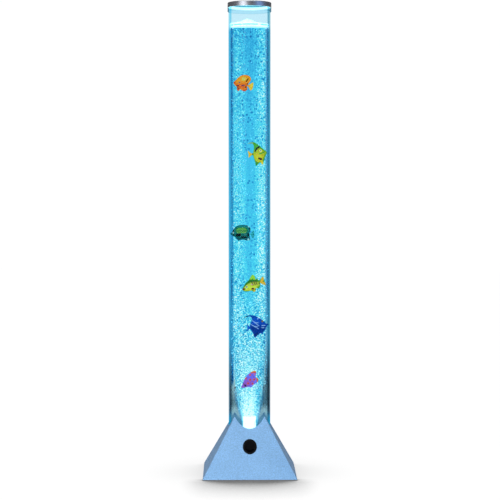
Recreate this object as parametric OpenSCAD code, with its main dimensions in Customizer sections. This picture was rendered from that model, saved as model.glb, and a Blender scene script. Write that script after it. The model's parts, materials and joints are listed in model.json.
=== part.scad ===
// Bubble tube floor lamp. A clear column of water stands in a moulded pyramid
// base, which holds an air pump, a disc of lamps and the control board. Air rises
// from a diffuser cup through the water, past six drifting fish, and a lift-off
// cap closes the top. Millimetres, +Z up the column, origin on the floor below
// the column's axis, front towards -Y.

/* [Base] */
// Width of the base across its bottom edge
base_w = 222; // [210:1:250]
// Lean of the four faces from upright, degrees
face_lean = 28.65; // [27:0.05:31]
// Thickness of the moulded walls
wall = 3; // [2:0.1:4]
// Height of the rubber feet
foot_h = 2; // [1.5:0.1:5]
// Radius of the rubber feet
foot_r = 7; // [5:0.5:9]
// Distance of the feet in from the bottom edge
foot_in = 17; // [15:0.5:22]
// Thickness of the bottom plate
plate_t = 3; // [2:0.1:4]
// Gap between the bottom plate and the shell
plate_gap = 0.3; // [0.1:0.05:1]
// Distance of the plate screws in from the bottom edge
screw_in = 31; // [28:0.5:36]
// Length of the air slots in the bottom plate
slot_len = 36; // [20:1:44]
// Width of the air slots in the bottom plate
slot_w = 2.6; // [2:0.1:4]
// Number of air slots
slot_count = 6; // [3:1:8]
// Thickness of the ribs between the collar and the walls
rib_t = 2.4; // [1.6:0.1:3]

/* [Tube] */
// Outside diameter of the tube
tube_d = 100; // [96:0.5:104]
// Wall of the tube
tube_wall = 3; // [2:0.1:4]
// Length of the tube
tube_len = 1056; // [1000:1:1400]
// Radial gap between the tube and its collar
tube_gap = 0.4; // [0.2:0.05:1]
// Height of the underside of the ledge that carries the tube
ledge_z = 58; // [56:0.5:64]
// Thickness of the ledge
ledge_t = 4; // [3:0.1:6]
// Width of the ledge under the tube, measured in from the collar's bore
ledge_w = 8.4; // [7:0.1:10]
// Thickness of the seal between tube and ledge
seal_t = 2; // [1:0.1:3]
// Thickness of the tube's glued floor
floor_t = 6; // [4:0.5:8]
// Gap of the glue line round the tube's floor
glue_gap = 0.05; // [0.02:0.01:0.1]

/* [Cap] */
// Height of the plated band
band_h = 11.5; // [9:0.5:16]
// Height of the clear skirt below the band
skirt_h = 9.5; // [6:0.5:14]
// Wall of the cap's rim
cap_wall = 1.7; // [1.2:0.1:3]
// Thickness of the cap's top
cap_top_t = 2.6; // [2:0.1:4]
// Gap between the cap and the tube, all round and on top
cap_gap = 0.3; // [0.2:0.05:0.6]
// Round on the cap's top edge
cap_round = 1.2; // [0.5:0.1:2]

/* [Window] */
// Distance from the back of the window's sleeve to the face, at the window's centre
window_reach = 14.37; // [12:0.01:17]
// Radius of the bezel's lip
lip_r = 16.5; // [15:0.1:18]
// How far the lip stands proud of the face
lip_h = 1; // [0.6:0.1:2]
// Radius of the bezel's sleeve
sleeve_r = 15; // [14:0.1:16]
// Gap between the sleeve and the shell
sleeve_gap = 0.2; // [0.1:0.05:0.5]
// Radius of the window lens
lens_r = 12.2; // [11:0.1:13]
// Thickness of the window lens
lens_t = 1.5; // [1:0.1:2]
// Side of the square sensor board
sensor_w = 23; // [22:0.5:25]

/* [Power inlet] */
// Height of the inlet's centre above the floor
jack_z = 26; // [24:0.5:32]
// Width of the pocket round the inlet
pocket_w = 24; // [20:0.5:30]
// Height of the pocket round the inlet
pocket_h = 18; // [16:0.5:22]
// Depth of the pocket at its upper edge
pocket_d = 7; // [6:0.5:9]
// Radius of the inlet's threaded neck
neck_r = 4; // [3.8:0.1:5]
// Radius of the inlet's socket
socket_r = 3.1; // [2.8:0.05:3.4]
// Radius of the inlet's centre pin
pin_r = 1.05; // [0.9:0.05:1.2]

/* [Air and light] */
// Radius of the diffuser cup
cup_r = 15.5; // [14:0.1:18]
// Height of the diffuser cup
cup_h = 66; // [50:1:80]
// Wall of the diffuser cup
cup_wall = 1.6; // [1.2:0.1:2.5]
// Radius of the air stone
stone_r = 9; // [7:0.5:11]
// Height of the air stone
stone_h = 28; // [18:1:40]
// Radius of the nipple's thread
thread_r = 4; // [3.5:0.1:5]
// Outside radius of the air hose
hose_r = 3.2; // [3:0.1:3.6]
// Inside radius of the air hose
hose_bore = 2.3; // [2.2:0.05:2.5]
// Radius of the nozzles that the hose slips on
nozzle_r = 2.1; // [1.9:0.05:2.15]
// Thickness of the circuit boards
board_t = 1.6; // [1:0.1:2]
// Side of a lamp chip
chip_w = 5; // [3:0.5:6]
// Height of a lamp chip
chip_h = 1.6; // [1:0.1:2]

/* [Air pump] */
// Length of the pump's case
pump_l = 78; // [76:1:82]
// Width of the pump's case
pump_w = 52; // [48:1:56]
// Height of the pump's lower case
tray_h = 22; // [20:0.5:24]
// Height of the pump's cover
cover_h = 13; // [12.5:0.5:16]
// Wall of the pump's case
pump_wall = 2; // [1.5:0.1:3]
// Height of the rubber mounts under the pump
mount_h = 4; // [3:0.5:6]
// Radius of the pump's pivot pin
pivot_r = 1.5; // [1.2:0.1:2]
// Running gap round the pivot pin
pivot_gap = 0.05; // [0.02:0.01:0.08]
// Thickness of the swinging arm
arm_t = 4; // [3:0.5:5]
// Width of the swinging arm
arm_w = 12; // [8:0.5:14]
// Radius of the rubber diaphragm
diaphragm_r = 9; // [7:0.5:11]

/* [Fish] */
// Thickness of a fish's fins
fin_t = 1.6; // [1:0.1:2.4]
// Half thickness of a fish's body
fish_half = 5.5; // [3:0.1:6]

/* [Colours] */
// Base mouldings
base_colour = "#8CBBE6"; // [#8CBBE6, #FFFFFF, #303236]
// Clear tube, skirt and floor
clear_colour = "#7FD4F0"; // [#7FD4F0, #D8F2FA]
// Plated cap
plated_colour = "#9A929F"; // [#9A929F, #D8D8DC]
// Black plastic and rubber
black_colour = "#17181A"; // [#17181A, #303236]

/* [Hidden] */
$fn = 96;

cut = 1;                                   // how far a cut runs past a face
fit = 0.05;                                // gap round a screw in its hole
plate_top = foot_h + plate_t;
slant = 1 / cos(face_lean);                // level width of a wall for its thickness
tube_r = tube_d / 2;
bore_r = tube_r - tube_wall;
hole_r = tube_r + tube_gap;
collar_r = hole_r + wall;
ledge_top = ledge_z + ledge_t;
tube_z = ledge_top + seal_t;
tube_top = tube_z + tube_len;
floor_top = tube_z + floor_t;
peak_z = foot_h + (base_w / 2 - hole_r / sqrt(2)) / tan(face_lean);
solid_tip = 20;                            // height of the solid points of the shell
foot_off = base_w / 2 - foot_in;
screw_off = base_w / 2 - screw_in;
screw_r = 1.5;
screw_len = 14;
screw_bite = 10;                           // how far the plate screws go into their bosses
screw_head_r = 3;
screw_head_h = 1.3;
boss_r = 4.5;

// Window, from front to back along -Y
sleeve_back = collar_r + 4;                // the sleeve stops clear of the collar
window_z = foot_h + (base_w / 2 - sleeve_back - window_reach) / tan(face_lean);
lens_back = sleeve_back + 5.5;
lens_gap = 0.1;
receiver_r = 2.6;
sensor_screw_off = 9.2;
sensor_screw_r = 0.9;

// Power inlet
pocket_y = face_at(jack_z + pocket_h / 2) - pocket_d;
pocket_wall = 2.4;
neck_len = 6;
jack_nut_t = 2;
jack_body_r = 5.6;
jack_body_len = 14;

// Boards
board_size = [60, 46];
board_in = 23;                             // from the bottom edge of the base to the board
board_at = [board_in - base_w / 2, -4];
standoff_h = 6;
board_hole_in = 4;
board_z = plate_top + standoff_h;
led_r = 50;
led_hole_r = 9;
led_z = ledge_z - board_t;
led_screw_at = hole_r - ledge_w / 2 + 0.6;
led_screw_r = 1.1;
small_head_r = 2;
small_head_h = 1.5;

// Nipple and cup
flange_r = 8;
flange_t = 2;
nut_t = 4;
nut_flats = 14;
nipple_low = ledge_z - 14;
stone_z = floor_top + flange_t + 2;
spigot_h = 10;
cup_holes = 12;

// Pump, in its own frame: x from the pivot's end, y across, z from the plate
jack_room = 9.57;                          // room for the wires behind the inlet
pump_at = [-8, pocket_y - pocket_wall - jack_body_len - jack_room - pump_w / 2,
    plate_top + mount_h];
tray_floor = pump_wall;
arm_z = 16;                                // underside of the arm
pivot_x = 9;
arm_end = 42;
magnet_l = 5;
magnet_h = 10;
core_x = 50;
core_l = 24;
core_w = 20;
core_h = 30;
core_back = 8;
leg_t = 6;
coil_l = 13;
coil_build = 4;
valve_at = 26;
valve_w = 24;
valve_h = 6;
rubber_gap = 0.2;
nozzle_z = tray_floor + valve_h / 2;
nozzle_len = 10;
nozzle_y = pump_at[1] - pump_w / 2;
lug_t = 4;
lug_w = 8;

// Runs of hose and wire, as points picked along each run
hose_seat = 8;                             // how far a hose slips over a nozzle
nozzle_x = pump_at[0] + valve_at;
nozzle_level = pump_at[2] + nozzle_z;
valve_mid = [-8, -36, 20];
valve_len = 20;
valve_r = 6;
lower_run = [
    [nozzle_x, nozzle_y - nozzle_len + hose_seat, nozzle_level],
    [nozzle_x, nozzle_y - nozzle_len, nozzle_level],
    [nozzle_x, nozzle_y - nozzle_len - 8, nozzle_level],
    [nozzle_x - 2, valve_mid[1] + 10, nozzle_level + 2],
    [valve_mid[0] + valve_len / 2 + 11, valve_mid[1] + 1, valve_mid[2]],
    [valve_mid[0] + valve_len / 2 + 5, valve_mid[1], valve_mid[2]],
    [valve_mid[0] + valve_len / 2, valve_mid[1], valve_mid[2]]
];
upper_run = [
    [valve_mid[0] - valve_len / 2, valve_mid[1], valve_mid[2]],
    [valve_mid[0] - valve_len / 2 - 5, valve_mid[1], valve_mid[2]],
    [valve_mid[0] - valve_len / 2 - 12, valve_mid[1] + 1, valve_mid[2] + 1],
    [-38, -28, 24],
    [-34, -14, 30],
    [-18, -5, 32],
    [-5, -1, 35],
    [0, 0, nipple_low - 3],
    [0, 0, nipple_low + 1],
    [0, 0, nipple_low + hose_seat]
];
wire_r = 1.5;
wire_level = board_z + board_t + 3;
jack_back = pocket_y - pocket_wall - jack_body_len;
power_plug = [30, board_size[1] - 7];      // corner of each plug on the board
pump_plug = [board_size[0] - 7, 26];
led_plug = [44, 10];
sensor_plug = [22, 1];
power_x = board_at[0] + power_plug[0] + 6;
pump_room = pump_at[0] - board_at[0] - board_size[0];
led_x = board_at[0] + led_plug[0] + 4;
led_y = board_at[1] + led_plug[1] + 4;
sensor_x = board_at[0] + sensor_plug[0] + 6;
power_run = [
    [0, jack_back, jack_z],
    [0, jack_back - 1.5, jack_z],
    [0, jack_back - 3, jack_z],
    [-2.2, jack_back - 5.8, jack_z],
    [-7, jack_back - 7, jack_z],
    [-16, jack_back - 8, jack_z - 2],
    [-30, jack_back - 11.5, 22],
    [power_x + 4, jack_back - 15.5, wire_level + 1],
    [power_x, board_at[1] + board_size[1] + 6, wire_level],
    [power_x, board_at[1] + board_size[1] + 2, wire_level],
    [power_x, board_at[1] + board_size[1] - 1, wire_level]
];
pump_run = [
    [pump_at[0], 30, pump_at[2] + 12],
    [pump_at[0] - 0.1 * pump_room, 30, pump_at[2] + 12],
    [pump_at[0] - 0.2 * pump_room, 30, pump_at[2] + 12],
    [pump_at[0] - 0.45 * pump_room, 29, pump_at[2] + 9],
    [pump_at[0] - 0.7 * pump_room, 28, wire_level],
    [pump_at[0] - 0.85 * pump_room, 28, wire_level],
    [pump_at[0] - pump_room - 1, 28, wire_level]
];
led_foot = board_z + board_t + 7;
led_rise = led_z - 9 - led_foot;
led_reach = -32 - led_x;
led_run = [
    [led_x, led_y, led_foot],
    [led_x, led_y, led_foot + 2],
    [led_x, led_y, led_foot + 4],
    [led_x + 0.08 * led_reach, led_y, led_foot + 4 + 0.2 * led_rise],
    [led_x + 0.35 * led_reach, led_y, led_foot + 4 + 0.5 * led_rise],
    [led_x + 0.75 * led_reach, led_y, led_foot + 4 + 0.8 * led_rise],
    [led_x + led_reach, led_y, led_foot + 4 + led_rise],
    [led_x + led_reach, led_y, led_z - 2.5],
    [led_x + led_reach, led_y, led_z]
];
wire_y = wire_r + 0.1 - sleeve_back;       // the sensor's wires pass just behind the sleeve
sensor_run = [
    [sensor_x, board_at[1] + 1, wire_level],
    [sensor_x, board_at[1] - 5, wire_level],
    [sensor_x, board_at[1] - 10, wire_level],
    [-54, -36, 22],
    [-34, -58, 34],
    [-14, -sleeve_back - 1, 50],
    [-6, wire_y, window_z - sensor_w / 2 - 5],
    [-6, wire_y, window_z - sensor_w / 2 - 2.5],
    [-6, wire_y, window_z - sensor_w / 2]
];

// Place of each fish: its length from the middle to its tip, the gap from there to
// the tube's bore, its depth in front of the axis, and its height
orange_at = [24, 3.6, 20, 932];
green_at = [25, 3, 14, 764];
teal_at = [28, 0.7, 6, 576];
lime_at = [27, 3.2, 20, 456];
blue_at = [31, 0.7, 6, 356];
violet_at = [21, 17, 26, 228];

// Fish outlines: x towards the right, z up, about the middle of each fish.
// The first list is the whole outline with the fins, the second the body. Each
// starts at the mouth and runs the clock's way round.
orange_fins = [
    [-24, 1], [-18, 7], [-11, 14], [-4, 18], [4, 19], [12, 17], [17, 12], [17, 6],
    [13, 0], [10, -4], [13, -4], [18, -1], [23, 1], [23, -7], [21, -14], [17, -18],
    [14, -14], [11, -9], [8, -8], [9, -14], [5, -19], [-1, -19], [-8, -15],
    [-11, -19], [-16, -16], [-16, -10], [-21, -5]
];
orange_body = [
    [-22, 1], [-16, 7], [-9, 13], [-2, 17], [6, 17], [14, 14], [15, 7], [11, 0],
    [8, -6], [6, -11], [0, -14], [-7, -13], [-14, -9], [-20, -3]
];
green_fins = [
    [25, 4], [21, -6], [18, -16], [16, -24], [14, -25], [9, -20], [5, -23], [-1, -28],
    [-3, -19], [-6, -10], [-8, -3], [-13, -4], [-18, -9], [-19, -1], [-20, 8], [-13, 2],
    [-8, 3], [-7, 8], [-6, 16], [-8, 23], [-14, 25], [-22, 24], [-13, 28], [-6, 28],
    [0, 25], [8, 19], [14, 14], [20, 9]
];
green_body = [
    [23, 4], [20, -2], [17, -9], [14, -16], [8, -19], [2, -20], [-3, -14], [-6, -6],
    [-7, 1], [-6, 8], [-3, 15], [1, 19], [6, 17], [12, 12], [18, 8]
];
teal_fins = [
    [-28, -2], [-24, 2], [-20, 9], [-15, 15], [-6, 19], [6, 19], [15, 17], [20, 11],
    [19, 4], [17, -1], [21, -1], [25, 4], [28, 5], [29, -3], [28, -11], [25, -12],
    [21, -5], [18, -4], [19, -12], [19, -17], [12, -18], [4, -16], [-4, -16],
    [-8, -19], [-13, -14], [-19, -8], [-24, -6]
];
teal_body = [
    [-26, -2], [-20, 5], [-15, 12], [-7, 17], [4, 17], [13, 14], [17, 7], [16, -1],
    [16, -8], [11, -13], [2, -14], [-6, -14], [-13, -11], [-20, -7]
];
lime_fins = [
    [-29, -14], [-25, -6], [-20, 2], [-14, 7], [-10, 14], [-5, 21], [1, 17], [3, 10],
    [7, 13], [9, 8], [12, 8], [17, 14], [21, 17], [23, 9], [26, 1], [27, -4],
    [20, -2], [14, 1], [14, -6], [10, -12], [4, -11], [3, -18], [-2, -20],
    [-7, -17], [-15, -19], [-23, -19]
];
lime_body = [
    [-27, -14], [-22, -5], [-16, 2], [-10, 7], [-2, 8], [6, 7], [12, 5], [13, 0],
    [10, -8], [3, -11], [-3, -15], [-10, -17], [-17, -17], [-24, -17]
];
blue_fins = [
    [31, 2], [26, -5], [22, -14], [18, -18], [17, -24], [13, -20], [4, -26], [-2, -31],
    [-6, -21], [-12, -12], [-15, -10], [-20, -16], [-20, -5], [-20, 4], [-18, 0], [-14, -4],
    [-12, 5], [-9, 9], [-9, 15], [-13, 20], [-19, 19], [-28, 17], [-20, 22], [-12, 23],
    [-3, 22], [5, 18], [14, 13], [20, 8], [25, 3]
];
blue_body = [
    [29, 1], [24, -5], [20, -13], [15, -17], [8, -20], [2, -24], [-4, -19], [-10, -12],
    [-12, -5], [-11, 3], [-8, 9], [-6, 16], [1, 17], [9, 14], [16, 9], [22, 4]
];
violet_fins = [
    [-20, -20], [-17, -12], [-14, -3], [-9, 5], [-2, 13], [6, 18], [13, 20], [16, 14],
    [14, 6], [18, 3], [21, 0], [19, -7], [14, -11], [9, -14], [6, -18], [3, -20],
    [-2, -19], [-7, -19], [-13, -21]
];
violet_body = [
    [-18, -20], [-15, -11], [-12, -3], [-7, 4], [0, 10], [7, 14], [11, 11],
    [12, 4], [13, -2], [10, -8], [6, -13], [0, -16], [-7, -18], [-13, -20]
];

// Half width of the base's outside at a height
function face_at(z) = base_w / 2 - (z - foot_h) * tan(face_lean);

// Points of a smooth curve between b and c, with a before them and d after
function between(a, b, c, d, t) = 0.5 * (2 * b + (c - a) * t
    + (2 * a - 5 * b + 4 * c - d) * t * t + (3 * b - a - 3 * c + d) * t * t * t);

// A closed outline with its corners rounded into curves
function closed_curve(p, steps = 3) = [
    for (i = [0 : len(p) - 1], s = [0 : steps - 1])
        between(p[(i + len(p) - 1) % len(p)], p[i], p[(i + 1) % len(p)],
            p[(i + 2) % len(p)], s / steps)
];

// An open run of points made into a smooth route
function route(p, steps = 4) = concat(
    [for (i = [0 : len(p) - 2], s = [0 : steps - 1])
        between(i == 0 ? 2 * p[0] - p[1] : p[i - 1], p[i], p[i + 1],
            i == len(p) - 2 ? 2 * p[i + 1] - p[i] : p[i + 2], s / steps)],
    [p[len(p) - 1]]);

function unit(v) = v / norm(v);
function heading(p, i) = unit(p[min(i + 1, len(p) - 1)] - p[max(i - 1, 0)]);
function sum_of(p, i = 0) = i == len(p) - 1 ? p[i] : p[i] + sum_of(p, i + 1);

// A round section swept along a route. The reference is any direction that the
// route never follows.
module sweep(p, r, reference, sides = 8) {
    rings = [for (i = [0 : len(p) - 1])
        let (t = heading(p, i), u = unit(cross(t, reference)), v = cross(t, u))
        for (k = [0 : sides - 1])
            p[i] + r * (cos(k * 360 / sides) * u + sin(k * 360 / sides) * v)];
    last = (len(p) - 1) * sides;
    walls = [for (i = [0 : len(p) - 2], k = [0 : sides - 1])
        let (a = i * sides + k, b = i * sides + (k + 1) % sides)
        each [[a, b, a + sides], [b, b + sides, a + sides]]];
    polyhedron(rings, concat(walls,
        [[for (k = [0 : sides - 1]) sides - 1 - k]],
        [[for (k = [0 : sides - 1]) last + k]]), convexity = 8);
}

// A body crowned on both sides of its outline
module crowned(outline, half) {
    n = len(outline);
    mid = sum_of(outline) / n;
    turns = [-60 : 30 : 60];
    rings = [for (a = turns, q = outline)
        [mid[0] + (q[0] - mid[0]) * cos(a), half * sin(a), mid[1] + (q[1] - mid[1]) * cos(a)]];
    back = len(rings);
    front = back + 1;
    bands = back / n - 1;
    walls = [for (j = [0 : bands - 1], k = [0 : n - 1])
        let (a = j * n + k, b = j * n + (k + 1) % n)
        each [[a, a + n, b], [b, a + n, b + n]]];
    polyhedron(concat(rings, [[mid[0], -half, mid[1]], [mid[0], half, mid[1]]]), concat(walls,
        [for (k = [0 : n - 1]) [k, (k + 1) % n, back]],
        [for (k = [0 : n - 1]) [back - n + k, front, back - n + (k + 1) % n]]));
}

// A fish in the column. The side is -1 or 1 for the wall it swims near.
module fish(fins, body, side, at) {
    chord = sqrt(pow(bore_r, 2) - pow(at[2] + fin_t, 2));
    translate([side * (chord - at[1] - at[0]), -at[2], at[3]]) {
        rotate([90, 0, 0])
            linear_extrude(fin_t, center = true)
                polygon(closed_curve(fins));
        crowned(closed_curve(body, 2), fish_half);
    }
}

// The four-sided base form between two heights, drawn in square to its faces
module pyramid(inset, low, high) {
    a = face_at(low) - inset * slant;
    b = face_at(high) - inset * slant;
    intersection_for(turn = [0, 90])
        rotate(turn)
            rotate([90, 0, 0])
                linear_extrude(2 * a + 2 * cut, center = true)
                    polygon([[-a, low], [a, low], [b, high], [-b, high]]);
}

module at_corners(off) {
    for (x = [-off, off], y = [-off, off])
        translate([x, y, 0])
            children();
}

// A cylinder that lies along Y, from one place on Y to another
module lying(r, from, to) {
    translate([0, to, 0])
        rotate([90, 0, 0])
            cylinder(r = r, h = to - from);
}

module ring(outer, inner, h) {
    difference() {
        cylinder(r = outer, h = h);
        translate([0, 0, -cut])
            cylinder(r = inner, h = h + 2 * cut);
    }
}

module rounded_slab(size, r) {
    linear_extrude(size[2]) {
        translate([r, 0]) square([size[0] - 2 * r, size[1]]);
        translate([0, r]) square([size[0], size[1] - 2 * r]);
        for (x = [r, size[0] - r], y = [r, size[1] - r])
            translate([x, y]) circle(r);
    }
}

// A pan-headed screw whose head sits on z = 0 and whose shank goes up
module screw(r, length, head_r, head_h) {
    cylinder(r = r - fit, h = length);
    translate([0, 0, -head_h])
        cylinder(r = head_r, h = head_h);
}

// ---- Base ----

module collar_and_ribs() {
    translate([0, 0, ledge_z])
        cylinder(r = collar_r, h = peak_z);
    for (turn = [0, 45, 90, 135, 180, 225, 315])
        rotate(turn)
            translate([collar_r - wall / 2, -rib_t / 2, ledge_z])
                cube([base_w, rib_t, peak_z]);
}

module base_shell() {
    pocket_low = jack_z - pocket_h / 2;
    color(base_colour) difference() {
        pyramid(0, foot_h, peak_z + cut);
        difference() {
            pyramid(wall, foot_h - cut, peak_z - solid_tip);
            collar_and_ribs();
            at_corners(screw_off)
                translate([0, 0, plate_top])
                    cylinder(r = boss_r, h = peak_z);
            translate([-pocket_w / 2 - pocket_wall, pocket_y - pocket_wall, pocket_low - pocket_wall])
                cube([pocket_w + 2 * pocket_wall, base_w, pocket_h + 2 * pocket_wall]);
        }
        translate([0, 0, ledge_top])
            cylinder(r = hole_r, h = peak_z);
        translate([0, 0, ledge_z - cut])
            cylinder(r = hole_r - ledge_w, h = peak_z);
        translate([0, 0, window_z])
            lying(sleeve_r + sleeve_gap, -base_w / 2, -sleeve_back);
        translate([-pocket_w / 2, pocket_y, pocket_low])
            cube([pocket_w, base_w, pocket_h]);
        translate([0, 0, jack_z])
            lying(neck_r + fit, pocket_y - pocket_wall - cut, pocket_y + cut);
        at_corners(screw_off)
            translate([0, 0, plate_top - cut])
                cylinder(r = screw_r, h = screw_len + cut);
        for (turn = [30, 150, 270])
            rotate(turn)
                translate([led_screw_at, 0, ledge_z - cut])
                    cylinder(r = led_screw_r, h = ledge_t);
    }
}

module base_plate() {
    half = face_at(plate_top) - wall * slant - plate_gap;
    color(black_colour) difference() {
        union() {
            translate([-half, -half, foot_h])
                cube([2 * half, 2 * half, plate_t]);
            board_corners()
                translate([0, 0, plate_top])
                    cylinder(r = 3, h = standoff_h);
        }
        at_corners(screw_off) {
            translate([0, 0, foot_h - cut])
                cylinder(r = screw_r + 0.3, h = plate_t + 2 * cut);
            translate([0, 0, foot_h - cut])
                cylinder(r = screw_head_r + 0.2, h = screw_head_h + 0.1 + cut);
        }
        board_corners()
            translate([0, 0, plate_top])
                cylinder(r = sensor_screw_r, h = standoff_h + cut);
        for (i = [0 : slot_count - 1])
            translate([-slot_len / 2, -64 - 2.4 * slot_w * (i - (slot_count - 1) / 2), foot_h - cut])
                cube([slot_len, slot_w, plate_t + 2 * cut]);
    }
}

module board_corners() {
    for (x = [board_hole_in, board_size[0] - board_hole_in], y = [board_hole_in, board_size[1] - board_hole_in])
        translate([board_at[0] + x, board_at[1] + y, 0])
            children();
}

module rubber_feet() {
    color(black_colour) at_corners(foot_off) {
        cylinder(r1 = foot_r - 0.6, r2 = foot_r, h = 0.6);
        translate([0, 0, 0.6])
            cylinder(r = foot_r, h = foot_h - 0.6);
    }
}

module plate_screws() {
    color("silver") at_corners(screw_off)
        translate([0, 0, foot_h + screw_head_h + 0.1])
            screw(screw_r, plate_t + screw_bite, screw_head_r, screw_head_h);
}

// ---- Window and sensor ----

module window_bezel() {
    color(black_colour) difference() {
        union() {
            intersection() {
                translate([0, 0, window_z])
                    lying(sleeve_r, -base_w / 2, -sleeve_back);
                pyramid(-lip_h, foot_h, peak_z);
            }
            intersection() {
                translate([0, 0, window_z])
                    lying(lip_r, -base_w / 2, -sleeve_back);
                difference() {
                    pyramid(-lip_h, foot_h, peak_z);
                    pyramid(0, foot_h - cut, peak_z + cut);
                }
            }
        }
        translate([0, 0, window_z]) {
            lying(lens_r + lens_gap, -base_w, -lens_back);
            lying(lens_r - 0.8, -lens_back - cut, -sleeve_back + cut);
            for (x = [-1, 1], z = [-1, 1])
                translate([x * sensor_screw_off, 0, z * sensor_screw_off])
                    lying(sensor_screw_r, -sleeve_back - 4, -sleeve_back + cut);
        }
    }
}

module window_lens() {
    color("#0B0B10") translate([0, 0, window_z])
        lying(lens_r, -lens_back - lens_t, -lens_back);
}

module sensor_board() {
    color("#1E5B34") difference() {
        translate([-sensor_w / 2, -sleeve_back, window_z - sensor_w / 2])
            cube([sensor_w, board_t, sensor_w]);
        for (x = [-1, 1], z = [-1, 1])
            translate([x * sensor_screw_off, 0, window_z + z * sensor_screw_off])
                lying(sensor_screw_r, -sleeve_back - cut, -sleeve_back + board_t + cut);
    }
}

module ir_receiver() {
    color(black_colour) {
        translate([-3, -sleeve_back - 2, window_z - 3.4])
            cube([6, 2, 6.8]);
        translate([0, 0, window_z])
            lying(receiver_r, -sleeve_back - 3, -sleeve_back - 1);
        translate([0, -sleeve_back - 3, window_z])
            sphere(1.6);
    }
}

module sensor_screws() {
    color("silver") for (x = [-1, 1], z = [-1, 1])
        translate([x * sensor_screw_off, -sleeve_back + board_t, window_z + z * sensor_screw_off])
            rotate([90, 0, 0])
                screw(sensor_screw_r, board_t + 3.4, 1.5, 1);
}

// ---- Power inlet ----

module dc_jack() {
    color(black_colour) translate([0, 0, jack_z]) difference() {
        union() {
            lying(jack_body_r, pocket_y - pocket_wall - jack_body_len, pocket_y - pocket_wall);
            lying(neck_r, pocket_y - pocket_wall - cut, pocket_y + neck_len);
        }
        difference() {
            lying(socket_r, pocket_y - 5, pocket_y + neck_len + cut);
            lying(pin_r, pocket_y - 5 - cut, pocket_y + neck_len - 1);
        }
    }
}

module dc_jack_nut() {
    color("silver") translate([0, pocket_y + jack_nut_t, jack_z]) rotate([90, 0, 0])
        difference() {
            cylinder(r = 6.4, h = jack_nut_t, $fn = 6);
            translate([0, 0, -cut])
                cylinder(r = neck_r + fit, h = jack_nut_t + 2 * cut);
        }
}

// ---- Control board ----

module control_board() {
    color("#1E5B34") difference() {
        translate([board_at[0], board_at[1], board_z])
            cube([board_size[0], board_size[1], board_t]);
        board_corners()
            translate([0, 0, board_z - cut])
                cylinder(r = sensor_screw_r + fit, h = board_t + 2 * cut);
    }
}

// Parts on the board: two capacitors, a coil, a chip, a driver and three plugs
module control_parts() {
    top = board_z + board_t;
    color("#3A3D42") translate([board_at[0], board_at[1], top]) {
        translate([14, 14, 0]) cylinder(r = 4, h = 10);
        translate([24, 14, 0]) cylinder(r = 3.15, h = 8);
        translate([15, 30, 0]) ring(6, 2.5, 6);
        translate([26, 26, 0]) cube([12, 8, 1.8]);
        translate([32, 4, 0]) cube([7, 6, 2.2]);
        translate(power_plug) cube([12, 6, 6]);
        translate(pump_plug) cube([6, 12, 6]);
        translate(sensor_plug) cube([12, 6, 6]);
        translate(led_plug) cube([8, 8, 7]);
    }
}

module board_screws() {
    color("silver") board_corners()
        translate([0, 0, board_z + board_t])
            mirror([0, 0, 1])
                screw(sensor_screw_r, board_t + 4, 1.8, 1.2);
}

// ---- Tube ----

module tube() {
    color(clear_colour) translate([0, 0, tube_z])
        ring(tube_r, bore_r, tube_len);
}

module tube_floor() {
    color(clear_colour) translate([0, 0, tube_z])
        ring(bore_r - glue_gap, thread_r + fit, floor_t);
}

module tube_seal() {
    color(black_colour) translate([0, 0, ledge_top])
        ring(tube_r, bore_r - 4, seal_t);
}

module led_board() {
    color("white") difference() {
        translate([0, 0, led_z])
            ring(led_r, led_hole_r, board_t);
        led_screw_places()
            translate([0, 0, -cut])
                cylinder(r = led_screw_r, h = board_t + 2 * cut);
    }
}

module led_screw_places() {
    for (turn = [30, 150, 270])
        rotate(turn)
            translate([led_screw_at, 0, led_z])
                children();
}

module leds() {
    color("#F4F7E8") for (row = [[12, 0.68 * led_r], [6, 0.4 * led_r]])
        for (i = [0 : row[0] - 1])
            rotate(i * 360 / row[0])
                translate([row[1] - chip_w / 2, -chip_w / 2, ledge_z])
                    cube([chip_w, chip_w, chip_h]);
}

module led_screws() {
    color("silver") led_screw_places()
        screw(led_screw_r, board_t + ledge_t - 1.5, small_head_r, small_head_h);
}

// ---- Air line ----

module air_nipple() {
    color("#C9A24A") difference() {
        union() {
            translate([0, 0, nipple_low])
                cylinder(r = nozzle_r, h = spigot_h + stone_z - nipple_low);
            translate([0, 0, nipple_low + hose_seat + 2])
                cylinder(r = thread_r, h = stone_z - nipple_low - hose_seat - 2);
            translate([0, 0, floor_top])
                cylinder(r = flange_r, h = flange_t);
        }
        translate([0, 0, nipple_low - cut])
            cylinder(r = nozzle_r - 0.8, h = spigot_h + stone_z - nipple_low + 2 * cut);
    }
}

module nipple_nut() {
    color("#C9A24A") translate([0, 0, tube_z - nut_t])
        difference() {
            cylinder(r = nut_flats / sqrt(3), h = nut_t, $fn = 6);
            translate([0, 0, -cut])
                cylinder(r = thread_r + fit, h = nut_t + 2 * cut);
        }
}

module bubbler_cup() {
    color("white") translate([0, 0, floor_top]) difference() {
        cylinder(r = cup_r, h = cup_h);
        translate([0, 0, -cut])
            cylinder(r = cup_r - cup_wall, h = cup_h - cup_wall + cut);
        for (i = [0 : cup_holes - 1])
            rotate(i * 360 / cup_holes)
                translate([(i % 2 == 0 ? 0.7 : 0.4) * cup_r, 0, cup_h - cup_wall - cut])
                    cylinder(r = 1, h = cup_wall + 2 * cut);
        for (turn = [0, 90])
            rotate(turn)
                translate([-cup_r - cut, -3, -cut])
                    cube([2 * cup_r + 2 * cut, 6, 4 + cut]);
    }
}

module air_stone() {
    color("#7C93A8") translate([0, 0, stone_z]) difference() {
        cylinder(r = stone_r, h = stone_h);
        translate([0, 0, -cut])
            cylinder(r = nozzle_r + fit, h = spigot_h + 2 * cut);
    }
}

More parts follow.
